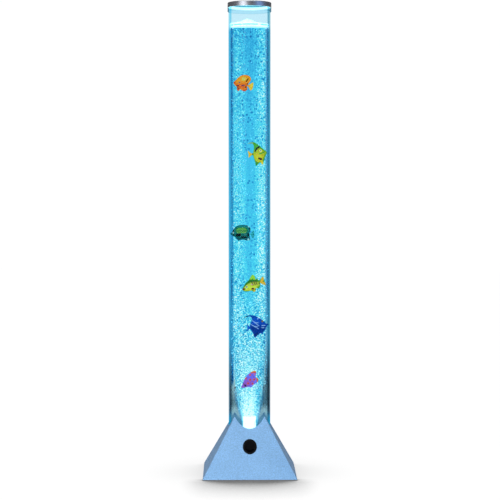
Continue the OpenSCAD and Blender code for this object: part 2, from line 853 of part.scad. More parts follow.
module check_valve() {
    color("white") translate([valve_mid[0], valve_mid[1], valve_mid[2]]) rotate([0, 90, 0]) {
        cylinder(r = valve_r, h = valve_len - 14, center = true);
        cylinder(r = valve_r - 1.5, h = valve_len - 8, center = true);
        cylinder(r = nozzle_r, h = valve_len + 2 * hose_seat - 8, center = true);
    }
}

// A hose along a route, open from end to end
module hose(run, reference, sides = 12) {
    n = len(run);
    count = n * sides;
    rings = [for (r = [hose_r, hose_bore], i = [0 : n - 1])
        let (t = heading(run, i), u = unit(cross(t, reference)), v = cross(t, u))
        for (k = [0 : sides - 1])
            run[i] + r * (cos(k * 360 / sides) * u + sin(k * 360 / sides) * v)];
    outside = [for (i = [0 : n - 2], k = [0 : sides - 1])
        let (a = i * sides + k, b = i * sides + (k + 1) % sides)
        each [[a, b, a + sides], [b, b + sides, a + sides]]];
    inside = [for (f = outside) [f[0] + count, f[2] + count, f[1] + count]];
    ends = [for (e = [0, 1], k = [0 : sides - 1])
        let (row = e * (n - 1) * sides, a = row + k, b = row + (k + 1) % sides)
        each e == 0 ? [[a, a + count, b], [b, a + count, b + count]]
            : [[a, b, a + count], [b, b + count, a + count]]];
    color("#DDEFF2") polyhedron(rings, concat(outside, inside, ends), convexity = 8);
}

module hose_lower() {
    hose(route(lower_run), [0, 0, 1]);
}

module hose_upper() {
    hose(route(upper_run), [0.5, -0.8, 0.3]);
}

// ---- Air pump ----

module pump_case() {
    color("#50555C") translate(pump_at) difference() {
        union() {
            translate([0, -pump_w / 2, 0]) difference() {
                rounded_slab([pump_l, pump_w, tray_h], 5);
                translate([pump_wall, pump_wall, tray_floor])
                    rounded_slab([pump_l - 2 * pump_wall, pump_w - 2 * pump_wall, tray_h], 3);
            }
            for (side = [-1, 1])
                translate([pivot_x - lug_w / 2, side * (arm_w / 2 + 1 + lug_t / 2) - lug_t / 2, tray_floor])
                    cube([lug_w, lug_t, arm_z + arm_t / 2 + 3 - tray_floor]);
        }
        translate([pivot_x, 0, arm_z + arm_t / 2])
            lying(pivot_r + pivot_gap, -pump_w / 2 + pump_wall + cut, pump_w / 2 - pump_wall - cut);
        translate([valve_at, 0, nozzle_z])
            lying(nozzle_r + 0.4, -pump_w / 2 - cut, -pump_w / 2 + pump_wall + cut);
    }
}

module pump_cover() {
    color("#50555C") translate([pump_at[0], pump_at[1] - pump_w / 2, pump_at[2] + tray_h]) {
        difference() {
            rounded_slab([pump_l, pump_w, cover_h], 5);
            translate([pump_wall, pump_wall, -cut])
                rounded_slab([pump_l - 2 * pump_wall, pump_w - 2 * pump_wall, cover_h - pump_wall + cut], 3);
            translate([14, pump_w / 2, cover_h - pump_wall - cut])
                cylinder(r = 2, h = pump_wall + 2 * cut);
        }
        for (i = [0 : 5])
            translate([26 + 8 * i, 8, cover_h])
                cube([3, pump_w - 16, 1]);
    }
}

module pump_core() {
    leg_gap = (core_h - 3 * leg_t) / 2;
    color("#8A8D92") translate([pump_at[0], pump_at[1], pump_at[2] + tray_floor])
        rotate([90, 0, 0])
            linear_extrude(core_w, center = true)
                difference() {
                    translate([core_x, 0]) square([core_l, core_h]);
                    for (i = [0, 1])
                        translate([core_x - cut, leg_t + i * (leg_t + leg_gap)])
                            square([core_l - core_back + cut, leg_gap]);
                }
}

module pump_coil() {
    inner = leg_t / 2 + 0.2;
    color("#B5651D") translate([pump_at[0] + core_x + core_l - core_back - coil_l - 0.5,
        pump_at[1], pump_at[2] + tray_floor + core_h / 2])
        difference() {
            translate([0, -core_w / 2 - coil_build, -inner - coil_build])
                cube([coil_l, core_w + 2 * coil_build, 2 * inner + 2 * coil_build]);
            translate([-cut, -core_w / 2 - 0.1, -inner])
                cube([coil_l + 2 * cut, core_w + 0.2, 2 * inner]);
        }
}

module pump_pivot() {
    reach = arm_w / 2 + 1 + lug_t;
    color("silver") translate([pump_at[0] + pivot_x, pump_at[1], pump_at[2] + arm_z + arm_t / 2])
        lying(pivot_r, -reach, reach);
}

module pump_arm() {
    color("#E8E4DA") translate([pump_at[0] + pivot_x, pump_at[1], pump_at[2] + arm_z]) difference() {
        union() {
            translate([0, -arm_w / 2, 0])
                cube([arm_end - pivot_x, arm_w, arm_t]);
            translate([0, 0, arm_t / 2])
                lying(arm_t / 2 + 2, -arm_w / 2, arm_w / 2);
        }
        translate([0, 0, arm_t / 2])
            lying(pivot_r + pivot_gap, -arm_w / 2 - cut, arm_w / 2 + cut);
    }
}

module pump_magnet() {
    color("#6A6E75") translate([pump_at[0] + arm_end, pump_at[1] - arm_w / 2,
        pump_at[2] + arm_z + arm_t / 2 - magnet_h / 2])
        cube([magnet_l, arm_w, magnet_h]);
}

module pump_diaphragm() {
    low = tray_floor + valve_h;
    tall = arm_z - rubber_gap - low;
    color(black_colour) translate([pump_at[0] + valve_at, pump_at[1], pump_at[2] + low]) {
        cylinder(r = diaphragm_r, h = tall / 3);
        translate([0, 0, tall / 3])
            cylinder(r1 = diaphragm_r - 1, r2 = diaphragm_r - 3, h = tall / 3);
        translate([0, 0, 2 * tall / 3])
            cylinder(r = diaphragm_r - 4, h = tall / 3);
    }
}

module pump_valve_block() {
    color("white") translate(pump_at) difference() {
        union() {
            translate([valve_at - valve_w / 2, -valve_w / 2, tray_floor])
                cube([valve_w, valve_w, valve_h]);
            translate([valve_at, 0, nozzle_z])
                lying(nozzle_r, -pump_w / 2 - nozzle_len, -valve_w / 2 + cut);
        }
        translate([valve_at, 0, nozzle_z])
            lying(nozzle_r - 0.9, -pump_w / 2 - nozzle_len - cut, 0);
    }
}

module pump_mounts() {
    color(black_colour) for (x = [10, pump_l - 10], y = [10 - pump_w / 2, pump_w / 2 - 10])
        translate([pump_at[0] + x, pump_at[1] + y, plate_top]) {
            cylinder(r = 5, h = mount_h / 4);
            cylinder(r = 3.5, h = mount_h);
            translate([0, 0, 3 * mount_h / 4])
                cylinder(r = 5, h = mount_h / 4);
        }
}

// ---- Wires ----

module power_wires() {
    color("black") sweep(route(power_run), wire_r, [0, 0, 1]);
}

module pump_wires() {
    color("red") sweep(route(pump_run), wire_r, [0, 1, 0]);
}

module led_wires() {
    color("white") sweep(route(led_run), wire_r, [0, 1, 0]);
}

module sensor_wires() {
    color("gray") sweep(route(sensor_run), wire_r, [0.8, 0.6, 0.1]);
}

// ---- Cap ----

module cap_cover() {
    outer = tube_r + cap_gap + cap_wall;
    high = tube_top + cap_gap + cap_top_t;
    low = high - band_h;
    color(plated_colour) difference() {
        union() {
            translate([0, 0, low])
                cylinder(r = outer, h = band_h - cap_round);
            translate([0, 0, high - cap_round])
                cylinder(r = outer - cap_round, h = cap_round);
            rotate_extrude()
                intersection() {
                    translate([outer - cap_round, high - cap_round]) circle(cap_round);
                    translate([outer - cap_round, high - cap_round]) square(cap_round + cut);
                }
        }
        translate([0, 0, low - cut])
            cylinder(r = tube_r + cap_gap, h = band_h - cap_top_t + cut);
    }
}

module cap_skirt() {
    high = tube_top + cap_gap + cap_top_t - band_h;
    color(clear_colour) translate([0, 0, high - skirt_h])
        ring(tube_r + cap_gap + cap_wall, tube_r + cap_gap, skirt_h);
}

// ---- Fish ----

module fish_orange() {
    color("#F2972E") fish(orange_fins, orange_body, -1, orange_at);
}

module fish_green() {
    color("#9FBE2C") fish(green_fins, green_body, 1, green_at);
}

module fish_teal() {
    color("#1F7F80") fish(teal_fins, teal_body, -1, teal_at);
}

module fish_lime() {
    color("#B4C93A") fish(lime_fins, lime_body, 1, lime_at);
}

module fish_blue() {
    color("#0B4FB0") fish(blue_fins, blue_body, 1, blue_at);
}

module fish_violet() {
    color("#7A63CC") fish(violet_fins, violet_body, 1, violet_at);
}

base_shell();
base_plate();
rubber_feet();
plate_screws();
window_bezel();
window_lens();
sensor_board();
ir_receiver();
sensor_screws();
dc_jack();
dc_jack_nut();
control_board();
control_parts();
board_screws();
tube();
tube_floor();
tube_seal();
led_board();
leds();
led_screws();
air_nipple();
nipple_nut();
bubbler_cup();
air_stone();
check_valve();
hose_lower();
hose_upper();
pump_case();
pump_cover();
pump_core();
pump_coil();
pump_pivot();
pump_diaphragm();
pump_valve_block();
pump_mounts();
pump_arm();
pump_magnet();
power_wires();
pump_wires();
led_wires();
sensor_wires();
cap_cover();
cap_skirt();
fish_orange();
fish_green();
fish_teal();
fish_lime();
fish_blue();
fish_violet();
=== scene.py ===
"""Bubble tube floor lamp: the water, the fish and every finish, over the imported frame.

Sizes are in metres, as the frame's are, except where a name or a comment says mm.
"""

import json
import math
import random

import bpy
import numpy as np
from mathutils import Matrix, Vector, noise


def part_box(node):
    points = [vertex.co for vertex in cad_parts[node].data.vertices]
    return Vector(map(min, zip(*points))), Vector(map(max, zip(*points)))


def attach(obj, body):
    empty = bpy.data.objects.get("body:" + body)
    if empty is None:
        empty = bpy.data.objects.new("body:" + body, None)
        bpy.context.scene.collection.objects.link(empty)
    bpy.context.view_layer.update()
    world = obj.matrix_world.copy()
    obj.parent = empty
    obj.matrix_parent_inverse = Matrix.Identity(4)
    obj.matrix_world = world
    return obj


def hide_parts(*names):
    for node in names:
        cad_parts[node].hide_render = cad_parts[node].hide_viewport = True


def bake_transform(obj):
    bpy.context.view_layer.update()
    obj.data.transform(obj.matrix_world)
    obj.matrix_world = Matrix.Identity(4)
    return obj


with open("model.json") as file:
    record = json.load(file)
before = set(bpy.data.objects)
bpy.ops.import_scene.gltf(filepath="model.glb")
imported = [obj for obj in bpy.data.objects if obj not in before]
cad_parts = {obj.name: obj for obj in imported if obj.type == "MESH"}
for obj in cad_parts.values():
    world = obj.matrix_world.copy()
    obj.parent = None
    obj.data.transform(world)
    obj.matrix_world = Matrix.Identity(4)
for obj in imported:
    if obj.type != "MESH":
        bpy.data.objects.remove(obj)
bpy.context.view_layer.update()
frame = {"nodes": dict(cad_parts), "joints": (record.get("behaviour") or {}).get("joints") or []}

bl_info = {
    "name": "Bubble Tube Lamp",
    "version": (1, 0, 0),
    "blender": (4, 5, 0),
    "location": "3D View > Sidebar > Lamp",
    "description": "Builds the water, the fish and the finishes of a bubble tube floor lamp",
    "category": "Object",
}

MM = 0.001
SEED = 7

# The tube's bore and the heights of its floor, its top and the cup's top, from the frame
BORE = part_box("tube_floor")[1].x + 0.05 * MM
TUBE_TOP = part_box("tube")[1].z
FLOOR_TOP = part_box("tube_floor")[1].z
CUP_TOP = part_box("bubbler_cup")[1].z

# The middle of the wall of the cap's rim, from the axis
RIM_MIDDLE = 51 * MM
# How far the base's faces lean from upright, in degrees
FACE_LEAN = 28.65
# Height up to which the stream is a plume that widens
PLUME_TOP = 0.32
# Shares of the wall's height where the water ends and the air begins
WATER_ENDS = (0.935, 0.948)

# The fish: height of the crowned body, rays round it, and thickness of the fins
CROWN_HEIGHT = 5.3 * MM
RAY_COUNT = 74
FIN_THICKNESS = 0.35 * MM


# ---- Colours ----


def linear(hex_colour):
    """Linear red, green and blue of an sRGB hex colour"""
    parts = [int(hex_colour[i : i + 2], 16) / 255 for i in (1, 3, 5)]
    return tuple(p / 12.92 if p <= 0.04045 else ((p + 0.055) / 1.055) ** 2.4 for p in parts)


# ---- Fish: outlines as in the part's source, in mm about the middle of each fish ----
# A mark is its colour, how soft its edge is, and its strokes; a stroke is the points, with the
# radius at each, that it runs through.

FISH = {
    "orange": {
        "fins": [
            (-24, 1), (-18, 7), (-11, 14), (-4, 18), (4, 19), (12, 17), (17, 12), (17, 6),
            (13, 0), (10, -4), (13, -4), (18, -1), (23, 1), (23, -7), (21, -14), (17, -18),
            (14, -14), (11, -9), (8, -8), (9, -14), (5, -19), (-1, -19), (-8, -15),
            (-11, -19), (-16, -16), (-16, -10), (-21, -5),
        ],
        "body": [
            (-22, 1), (-16, 7), (-9, 13), (-2, 17), (6, 17), (14, 14), (15, 7), (11, 0),
            (8, -6), (6, -11), (0, -14), (-7, -13), (-14, -9), (-20, -3),
        ],
        "tones": ("#FF8818", "#FF9C20", "#F26418"),
        "eye": (-9.8, 1.2, 1.8, "#6F8A96"),
        "marks": [
            ("#E2BE4C", 2.0, [(0.5, 9, 4.6)]),
            ("#F6C23A", 1.5, [(15, -7, 2.5), (21, -4, 4)], [(17, -9, 3), (19, -14, 3.5)]),
            ("#D8452A", 1.0, [(8, -13, 1.2), (5, -17.5, 1.8), (-1, -17.5, 1.5)]),
            ("#E0552A", 1.5, [(-11, -13, 2.5), (-14, -16, 2.5)]),
            ("#6A2A4C", 1.0, [(-3.6, -6.4, 1.6), (1.6, -6.0, 1.6)]),
            ("#8E2B2E", 1.0, [(-16, -6.8, 1.8), (-12.8, -6.8, 1.8)]),
            ("#2A1A12", 0.6, [(6.6, 3.6, 1.3), (10.7, 9.4, 1.3)]),
            ("#8A3420", 1.0, [(-17, -10, 1.3), (-12, -13, 1.2)]),
            ("#2A1A12", 0.6, [(9.2, -2.6, 1.7)], [(4.4, -9.8, 1.3), (6.4, -9.8, 1.3)]),
            ("#D93A22", 0.8, [(-21.6, 0.8, 2.3)]),
        ],
    },
    "green": {
        "fins": [
            (25, 4), (21, -6), (18, -16), (16, -24), (14, -25), (9, -20), (5, -23), (-1, -28),
            (-3, -19), (-6, -10), (-8, -3), (-13, -4), (-18, -9), (-19, -1), (-20, 8), (-13, 2),
            (-8, 3), (-7, 8), (-6, 16), (-8, 23), (-14, 25), (-22, 24), (-13, 28), (-6, 28),
            (0, 25), (8, 19), (14, 14), (20, 9),
        ],
        "body": [
            (23, 4), (20, -2), (17, -9), (14, -16), (8, -19), (2, -20), (-3, -14), (-6, -6),
            (-7, 1), (-6, 8), (-3, 15), (1, 19), (6, 17), (12, 12), (18, 8),
        ],
        "tones": ("#58A030", "#AEB828", "#D4C426"),
        "eye": (9.8, 7.7, 2.2, "#E9EBD2"),
        "marks": [
            ("#4EA53C", 3.0, [(0, 22, 4), (-5, 12, 3)]),
            ("#4EA53C", 2.0, [(2, 21, 3), (14, 12.5, 2.5)]),
            ("#8FB487", 1.5, [(-10, 26, 2), (-22, 24.5, 1.5)]),
            ("#DCCB32", 4.0, [(4, -4, 7), (9, -12, 4)]),
            ("#E8D23A", 1.2, [(9.8, 7.7, 4.0)]),
            ("#E08A2A", 1.0, [(5.8, 7, 1.5)]),
            ("#1D2320", 0.8, [(6.2, 17, 2.0), (0.6, 13, 2.0), (-2.8, 6.5, 1.5)]),
            ("#3F9440", 0.8, [(6.7, 0.5, 1.1), (13, 2, 1.2), (19, 5, 1.2)]),
            ("#E5A030", 1.5, [(13.6, -3.4, 1.6)], [(1.4, -1.9, 1.6)]),
            ("#4A181A", 0.9, [(6.4, -10.4, 2.2), (10.8, -12, 2.7)]),
            ("#F2C92F", 1.2, [(13, -18, 2.6), (14, -24, 2.4)]),
            ("#3E8F3A", 2.0, [(1, -21, 3), (-1, -27, 2.6)]),
            ("#F4B92E", 1.2, [(-13, 0, 2.4), (-18, -5, 4)], [(-13, 0, 2.4), (-18.5, 4, 4)]),
            ("#8C6A2C", 1.0, [(-9.5, 0, 1.5)]),
        ],
    },
    "teal": {
        "fins": [
            (-28, -2), (-24, 2), (-20, 9), (-15, 15), (-6, 19), (6, 19), (15, 17), (20, 11),
            (19, 4), (17, -1), (21, -1), (25, 4), (28, 5), (29, -3), (28, -11), (25, -12),
            (21, -5), (18, -4), (19, -12), (19, -17), (12, -18), (4, -16), (-4, -16),
            (-8, -19), (-13, -14), (-19, -8), (-24, -6),
        ],
        "body": [
            (-26, -2), (-20, 5), (-15, 12), (-7, 17), (4, 17), (13, 14), (17, 7), (16, -1),
            (16, -8), (11, -13), (2, -14), (-6, -14), (-13, -11), (-20, -7),
        ],
        "tones": ("#11616F", "#168078", "#0E605C"),
        "eye": (-21.0, 0.4, 1.6, "#EAF4F2"),
        "marks": [
            ("#1E7048", 1.5, [(-10, 6.8, 6.6), (7, 6.8, 6.6)]),
            ("#8CC644", 0.5, [(-12, 0.8, 0.6), (9, 0.8, 0.6)], [(-13, 4.3, 0.6), (10, 4.3, 0.6)],
             [(-13, 7.8, 0.6), (10, 7.8, 0.6)]),
            ("#7CBC40", 0.5, [(-10, 11.3, 0.6), (7, 11.3, 0.6)]),
            ("#0A0F12", 0.8, [(-20.0, 8, 1.4), (-20.8, 4.4, 1.8)],
             [(-20.8, -3.9, 1.2), (-20.2, -7.4, 1.2)]),
            ("#0A1214", 1.0, [(-11.5, -5.2, 3.4), (-6, -3.8, 3.6)], [(14, -1.5, 1.9), (15, -6.5, 1.7)],
             [(-1, -9.6, 1.8), (10, -10.4, 1.8)], [(-12, -13.5, 1), (0, -15.5, 1), (12, -17, 1)]),
            ("#0B3A4A", 1.0, [(18.5, 5, 1.2), (19, 9, 1.3), (16.5, 12, 1.2)]),
            ("#9FD8DC", 1.5, [(16, 15.5, 2.2)], [(15, -15.5, 2.4)]),
            ("#2FA0A8", 1.2, [(21, -3, 2), (27, 1, 3.2)], [(21, -3, 2), (27, -8, 3)]),
        ],
    },
    "lime": {
        "fins": [
            (-29, -14), (-25, -6), (-20, 2), (-14, 7), (-10, 14), (-5, 21), (1, 17), (3, 10),
            (7, 13), (9, 8), (12, 8), (17, 14), (21, 17), (23, 9), (26, 1), (27, -4),
            (20, -2), (14, 1), (14, -6), (10, -12), (4, -11), (3, -18), (-2, -20),
            (-7, -17), (-15, -19), (-23, -19),
        ],
        "body": [
            (-27, -14), (-22, -5), (-16, 2), (-10, 7), (-2, 8), (6, 7), (12, 5), (13, 0),
            (10, -8), (3, -11), (-3, -15), (-10, -17), (-17, -17), (-24, -17),
        ],
        "tones": ("#5E9E30", "#A3BC38", "#D6D03C"),
        "eye": (-18.4, -7.9, 1.7, "#5E6A66"),
        "marks": [
            ("#2E7B2A", 3.0,
             [(-26, -8, 1.6), (-19, 1, 3.2), (-11, 5.4, 3.2), (-1, 7, 2.6), (9, 6, 1.8)]),
            ("#A8D43A", 1.6, [(-8, 12, 2.6), (-4, 18, 3.2), (0, 12, 3)]),
            ("#4E9A36", 1.2, [(7, 11, 2)]),
            ("#E4D63C", 2.2, [(-18, -14, 3), (-6, -12, 3.4), (3, -8, 3)]),
            ("#CDEB4A", 0.8, [(-20, -11, 0.8), (-12, -8, 0.9), (-3, -8.5, 0.9), (5, -5.5, 0.8)]),
            ("#6E4030", 0.7, [(-6.5, 4, 1.1), (-3, -4, 1.1)], [(-1.5, 5, 1.1), (2, -3, 1.1)],
             [(3.5, 4.5, 1.0), (6, -2, 1.0)]),
            ("#E8A0A8", 0.8, [(-7.4, -2, 1.2), (-5.4, -2, 1.2)]),
            ("#7A1E22", 0.9, [(-27, -13.8, 2), (-23.5, -13, 2.2)]),
            ("#D8DCC0", 0.7, [(-18.4, -7.9, 2.6)]),
            ("#6A2230", 0.9, [(-5.4, -12.3, 2.1), (-2.8, -12.3, 2.1)]),
            ("#F0B03A", 1.2, [(0, -16, 2), (0, -19, 2)]),
            ("#5EA63A", 1.2, [(9, -7, 1.8), (11.5, -10, 2)]),
            ("#F4B437", 1.4, [(16, 3, 2.4), (20, 12, 4)], [(16, 2, 2.4), (24, 0, 4)]),
            ("#3A4A20", 1.0, [(12, 1, 1.7)]),
        ],
    },
    "blue": {
        "fins": [
            (31, 2), (26, -5), (22, -14), (18, -18), (17, -24), (13, -20), (4, -26), (-2, -31),
            (-6, -21), (-12, -12), (-15, -10), (-20, -16), (-20, -5), (-20, 4), (-18, 0), (-14, -4),
            (-12, 5), (-9, 9), (-9, 15), (-13, 20), (-19, 19), (-28, 17), (-20, 22), (-12, 23),
            (-3, 22), (5, 18), (14, 13), (20, 8), (25, 3),
        ],
        "body": [
            (29, 1), (24, -5), (20, -13), (15, -17), (8, -20), (2, -24), (-4, -19), (-10, -12),
            (-12, -5), (-11, 3), (-8, 9), (-6, 16), (1, 17), (9, 14), (16, 9), (22, 4),
        ],
        "tones": ("#0A46A4", "#0C4CB8", "#06348A"),
        "eye": (16.2, 8.6, 1.8, "#C49A6A"),
        "marks": [
            ("#0A2E78", 3.0, [(4, -22, 3), (-4, -26, 3)]),
            ("#A6C4F2", 0.7, [(-10.8, 12, 0.6), (-2, 6, 0.6), (7.9, -2.4, 0.6)],
             [(-2, 6, 0.6), (6, 5, 0.6)], [(-12, 1.5, 0.6), (-4, -3, 0.6), (6.8, -9, 0.6)],
             [(-4, -3, 0.6), (4, -3.5, 0.6)]),
            ("#8FB4F0", 0.8, [(4.6, 14, 1.0), (6.6, 16.4, 1.0)]),
            ("#A6C4F2", 0.7, [(15, -1.3, 0.8), (22.6, -1.3, 0.8)],
             [(14.4, -6.5, 0.8), (20, -6.5, 0.8)]),
            ("#0A1E4A", 0.8, [(16.2, 8.6, 2.8)]),
            ("#0E4A6A", 1.5, [(-20, 20.5, 1.8), (-28, 18, 1.6)]),
            ("#1560C8", 1.5, [(-17, -5, 2.5), (-20, -12, 2.5)]),
        ],
    },
    "violet": {
        "fins": [
            (-20, -20), (-17, -12), (-14, -3), (-9, 5), (-2, 13), (6, 18), (13, 20), (16, 14),
            (14, 6), (18, 3), (21, 0), (19, -7), (14, -11), (9, -14), (6, -18), (3, -20),
            (-2, -19), (-7, -19), (-13, -21),
        ],
        "body": [
            (-18, -20), (-15, -11), (-12, -3), (-7, 4), (0, 10), (7, 14), (11, 11),
            (12, 4), (13, -2), (10, -8), (6, -13), (0, -16), (-7, -18), (-13, -20),
        ],
        "tones": ("#8074EC", "#7A6AEA", "#A058C4"),
        "eye": (-10.3, -14.8, 1.6, "#2A1420"),
        "marks": [
            ("#E8452A", 0.9, [(4, 14.6, 1.2), (14, 15.6, 1.4)]),
            ("#FF8A20", 0.9, [(3, 17.4, 1.8), (9, 19, 1.9), (14.5, 18.6, 1.8)]),
            ("#F0562E", 0.8, [(1.2, 10.0, 2.4)], [(-9.0, 1.8, 2.4)], [(1.2, -1.1, 2.8)],
             [(10.8, -0.6, 2.6)], [(-3.9, -9.8, 2.7)], [(7.1, -11.2, 2.4)]),
            ("#C8302A", 0.7, [(1.2, 10.0, 0.9)], [(-9.0, 1.8, 0.9)], [(1.2, -1.1, 1.2)],
             [(10.8, -0.6, 1.1)], [(-3.9, -9.8, 1.2)]),
            ("#E8708A", 0.8, [(12.1, 10.6, 1.9)]),
            ("#FF9030", 0.8, [(16, 2.8, 1), (20.6, -0.6, 1.4), (18.6, -6.4, 1)]),
            ("#E0402C", 0.8, [(15, 1, 0.8), (18.6, -1.2, 1.1), (17, -5.5, 0.8)]),
            ("#7A1A30", 0.6, [(-16.4, -8.6, 0.7), (-12, -13.6, 0.8), (-8, -18.6, 0.7)]),
            ("#18101A", 0.6, [(-10.3, -14.8, 2.3)]),
            ("#A83A8A", 1.2, [(-19, -19.6, 1.8)]),
        ],
    },
}


# ---- Properties ----


def length(name, description, default):
    return bpy.props.FloatProperty(
        name=name, description=description, default=default, unit="LENGTH", min=0, precision=4
    )


def colour(name, description, default):
    return bpy.props.FloatVectorProperty(
        name=name, description=description, default=linear(default), subtype="COLOR", size=3, min=0, max=1
    )


class LampSizes(bpy.types.PropertyGroup):
    water_level: length("Water level", "Height of the water's surface above the floor", 1.0632)
    foam_height: length("Foam height", "Thickness of the foam on the water", 0.0088)
    foam_hump: length("Foam hump", "Height of the hump in the foam, over the foam", 0.0112)
    stream_radius: length("Stream radius", "Radius of the stream of fine bubbles", 0.0385)
    edge_radius: length("Edge radius", "Radius of the clear edge round the stream", 0.0435)
    bubble_radius: length("Bubble radius", "Radius of the commonest loose bubbles", 0.0009)
    base_round: length("Base round", "Round on the long edges of the base", 0.0011)
    fish_grid: length("Fish grid", "Spacing of the points that carry a fish's paint", 0.0008)
    bubble_count: bpy.props.IntProperty(
        name="Bubbles", description="Number of loose bubbles in the clear water", default=2600, min=0
    )


class LampColours(bpy.types.PropertyGroup):
    base: colour("Base", "Satin paint of the base", "#8BBBEA")
    acrylic: colour("Tube", "Tint of the clear acrylic", "#F0FDFF")
    water_edge: colour("Water edge", "Tint of the water seen along the wall", "#F4FDFF")
    stream: colour("Stream", "Light of the stream in its middle tones", "#4DC6EC")
    foam: colour("Foam", "Light of the foam", "#EBFFFF")
    plating: colour("Plating", "Plated band of the cap", "#ABAFB8")
    window: colour("Window", "Dark window of the receiver", "#050507")
    floor: colour("Floor", "Studio floor", "#FAFAFA")


# ---- Mesh helpers ----


def clear_selection():
    if bpy.context.object and bpy.context.object.mode != "OBJECT":
        bpy.ops.object.mode_set(mode="OBJECT")
    bpy.ops.object.select_all(action="DESELECT")


def take(obj):
    clear_selection()
    obj.select_set(True)
    bpy.context.view_layer.objects.active = obj
    return obj


def select_parts(obj, keep, domain="FACE"):
    """Opens the piece for editing, with the faces, edges or points that keep() names selected"""
    take(obj)
    bpy.ops.object.mode_set(mode="EDIT")
    bpy.ops.mesh.select_mode(type={"FACE": "FACE", "EDGE": "EDGE", "POINT": "VERT"}[domain])
    bpy.ops.mesh.select_all(action="DESELECT")
    bpy.ops.object.mode_set(mode="OBJECT")
    mesh = obj.data
    for part in {"FACE": mesh.polygons, "EDGE": mesh.edges, "POINT": mesh.vertices}[domain]:
        part.select = bool(keep(part))
    bpy.ops.object.mode_set(mode="EDIT")


def apply_modifier(obj, kind, **settings):
    take(obj)
    modifier = obj.modifiers.new(kind.title(), kind)
    for name, value in settings.items():
        setattr(modifier, name, value)
    bpy.ops.object.modifier_apply(modifier=modifier.name)


def points_of(obj):
    flat = np.empty(len(obj.data.vertices) * 3)
    obj.data.vertices.foreach_get("co", flat)
    return flat.reshape(-1, 3)


def move_points(obj, points):
    obj.data.vertices.foreach_set("co", np.asarray(points, float).ravel())
    obj.data.update()


def outward_normals(obj):
    take(obj)
    bpy.ops.object.mode_set(mode="EDIT")
    bpy.ops.mesh.select_all(action="SELECT")
    bpy.ops.mesh.normals_make_consistent(inside=False)
    bpy.ops.object.mode_set(mode="OBJECT")


def settle(obj):
    """Works a piece's place, turn and size into its mesh"""
    take(obj)
    bpy.ops.object.transform_apply(location=True, rotation=True, scale=True)


def shade_by_angle(obj, degrees):
    """Smooth shading, with the edges that bend by more than so many degrees kept sharp"""
    take(obj)
    bpy.ops.object.shade_smooth_by_angle(angle=math.radians(degrees))


def upright(radius, low, high, sides, cuts=0):
    """A cylinder that stands on the axis, with its sides cut into rows"""
    clear_selection()
    bpy.ops.mesh.primitive_cylinder_add(
        vertices=sides, radius=radius, depth=high - low, location=(0, 0, (high + low) / 2)
    )
    obj = bpy.context.object
    settle(obj)

    def rises(e):
        a, b = (obj.data.vertices[i].co.z for i in e.vertices)
        return abs(a - b) > 1 * MM

    if cuts:
        select_parts(obj, rises, "EDGE")
        bpy.ops.mesh.subdivide(number_cuts=cuts)
        bpy.ops.object.mode_set(mode="OBJECT")
    return obj


def dress(node, material):
    """Gives a node of the frame its finish"""
    mesh = frame["nodes"][node].data
    mesh.materials.clear()
    mesh.materials.append(material)


def finish_piece(obj, name, body, material, replaced=()):
    """Names a piece, settles its place into its mesh, and gives it its body and finish; a
    piece that bends between two bodies gets none here"""
    settle(obj)
    obj.name = obj.data.name = name
    obj.data.materials.clear()
    obj.data.materials.append(material)
    if body:
        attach(obj, body)
    if replaced:
        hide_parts(*replaced)
    return obj


def smooth_curve(corners, steps=3):
    """A closed outline with its corners rounded, as the part's source does it"""
    count, out = len(corners), []
    for i in range(count):
        a, b, c, d = (np.array(corners[(i + k - 1) % count], float) for k in range(4))
        for s in range(steps):
            t = s / steps
            square, cube = 2 * a - 5 * b + 4 * c - d, 3 * b - a - 3 * c + d
            out.append(0.5 * (2 * b + (c - a) * t + square * t**2 + cube * t**3))
    return np.array(out)


def smoothstep(low, high, value):
    """0 up to the low value, 1 from the high one on, and a soft rise between them"""
    t = np.clip((value - low) / (high - low), 0, 1)
    return t * t * (3 - 2 * t)


# ---- Material helpers ----


def add(tree, kind, wires=None, stops=None, **settings):
    """Adds a shader node with its settings. A wire is a socket to link, or a value to set."""
    node = tree.nodes.new("ShaderNode" + kind)
    for name, value in settings.items():
        setattr(node, name, value)
    for socket, value in (wires or {}).items():
        if isinstance(value, bpy.types.Node):
            value = value.outputs[0]
        if isinstance(value, bpy.types.NodeSocket):
            tree.links.new(value, node.inputs[socket])
        elif isinstance(value, (tuple, list)) and len(value) == 3 and node.inputs[socket].type == "RGBA":
            node.inputs[socket].default_value = (*value, 1)
        else:
            node.inputs[socket].default_value = value
    if stops:
        ramp = node.color_ramp
        while len(ramp.elements) < len(stops):
            ramp.elements.new(0.5)
        for element, (place, tone) in zip(ramp.elements, stops):
            element.position, element.color = place, (*tone, 1)
    return node


def remap(tree, value, start, end, low=0.0, high=1.0, **settings):
    """Carries a value over from one range to another, held within it unless clamp is off"""
    return add(tree, "MapRange", {"Value": value, 1: start, 2: end, 3: low, 4: high}, **settings)


def ease(tree, value, start, end, low=0.0, high=1.0):
    """A remap that starts and ends softly"""
    return remap(tree, value, start, end, low, high, interpolation_type="SMOOTHSTEP")


def calc(tree, operation, *values):
    """One sum on one or two values"""
    return add(tree, "Math", dict(enumerate(values)), operation=operation)


def scaled(tree, tone, level):
    """A colour made darker or lighter by a level"""
    return add(tree, "VectorMath", {0: tone, "Scale": level}, operation="SCALE")


def mixed(tree, share, first, second):
    """A mix of two colours, by the share of the second"""
    return add(tree, "Mix", {0: share, 6: first, 7: second}, data_type="RGBA").outputs[2]


def speckle(tree, place, size, detail, rough=0.5, stretch=None):
    """Noise with its lumps about so many mm apart, drawn out along an axis if it is stretched"""
    if stretch:
        place = add(tree, "Mapping", {"Vector": place, "Scale": stretch})
    wires = {"Vector": place, "Scale": 1 / (size * MM), "Detail": detail, "Roughness": rough}
    return add(tree, "TexNoise", wires).outputs["Fac"]


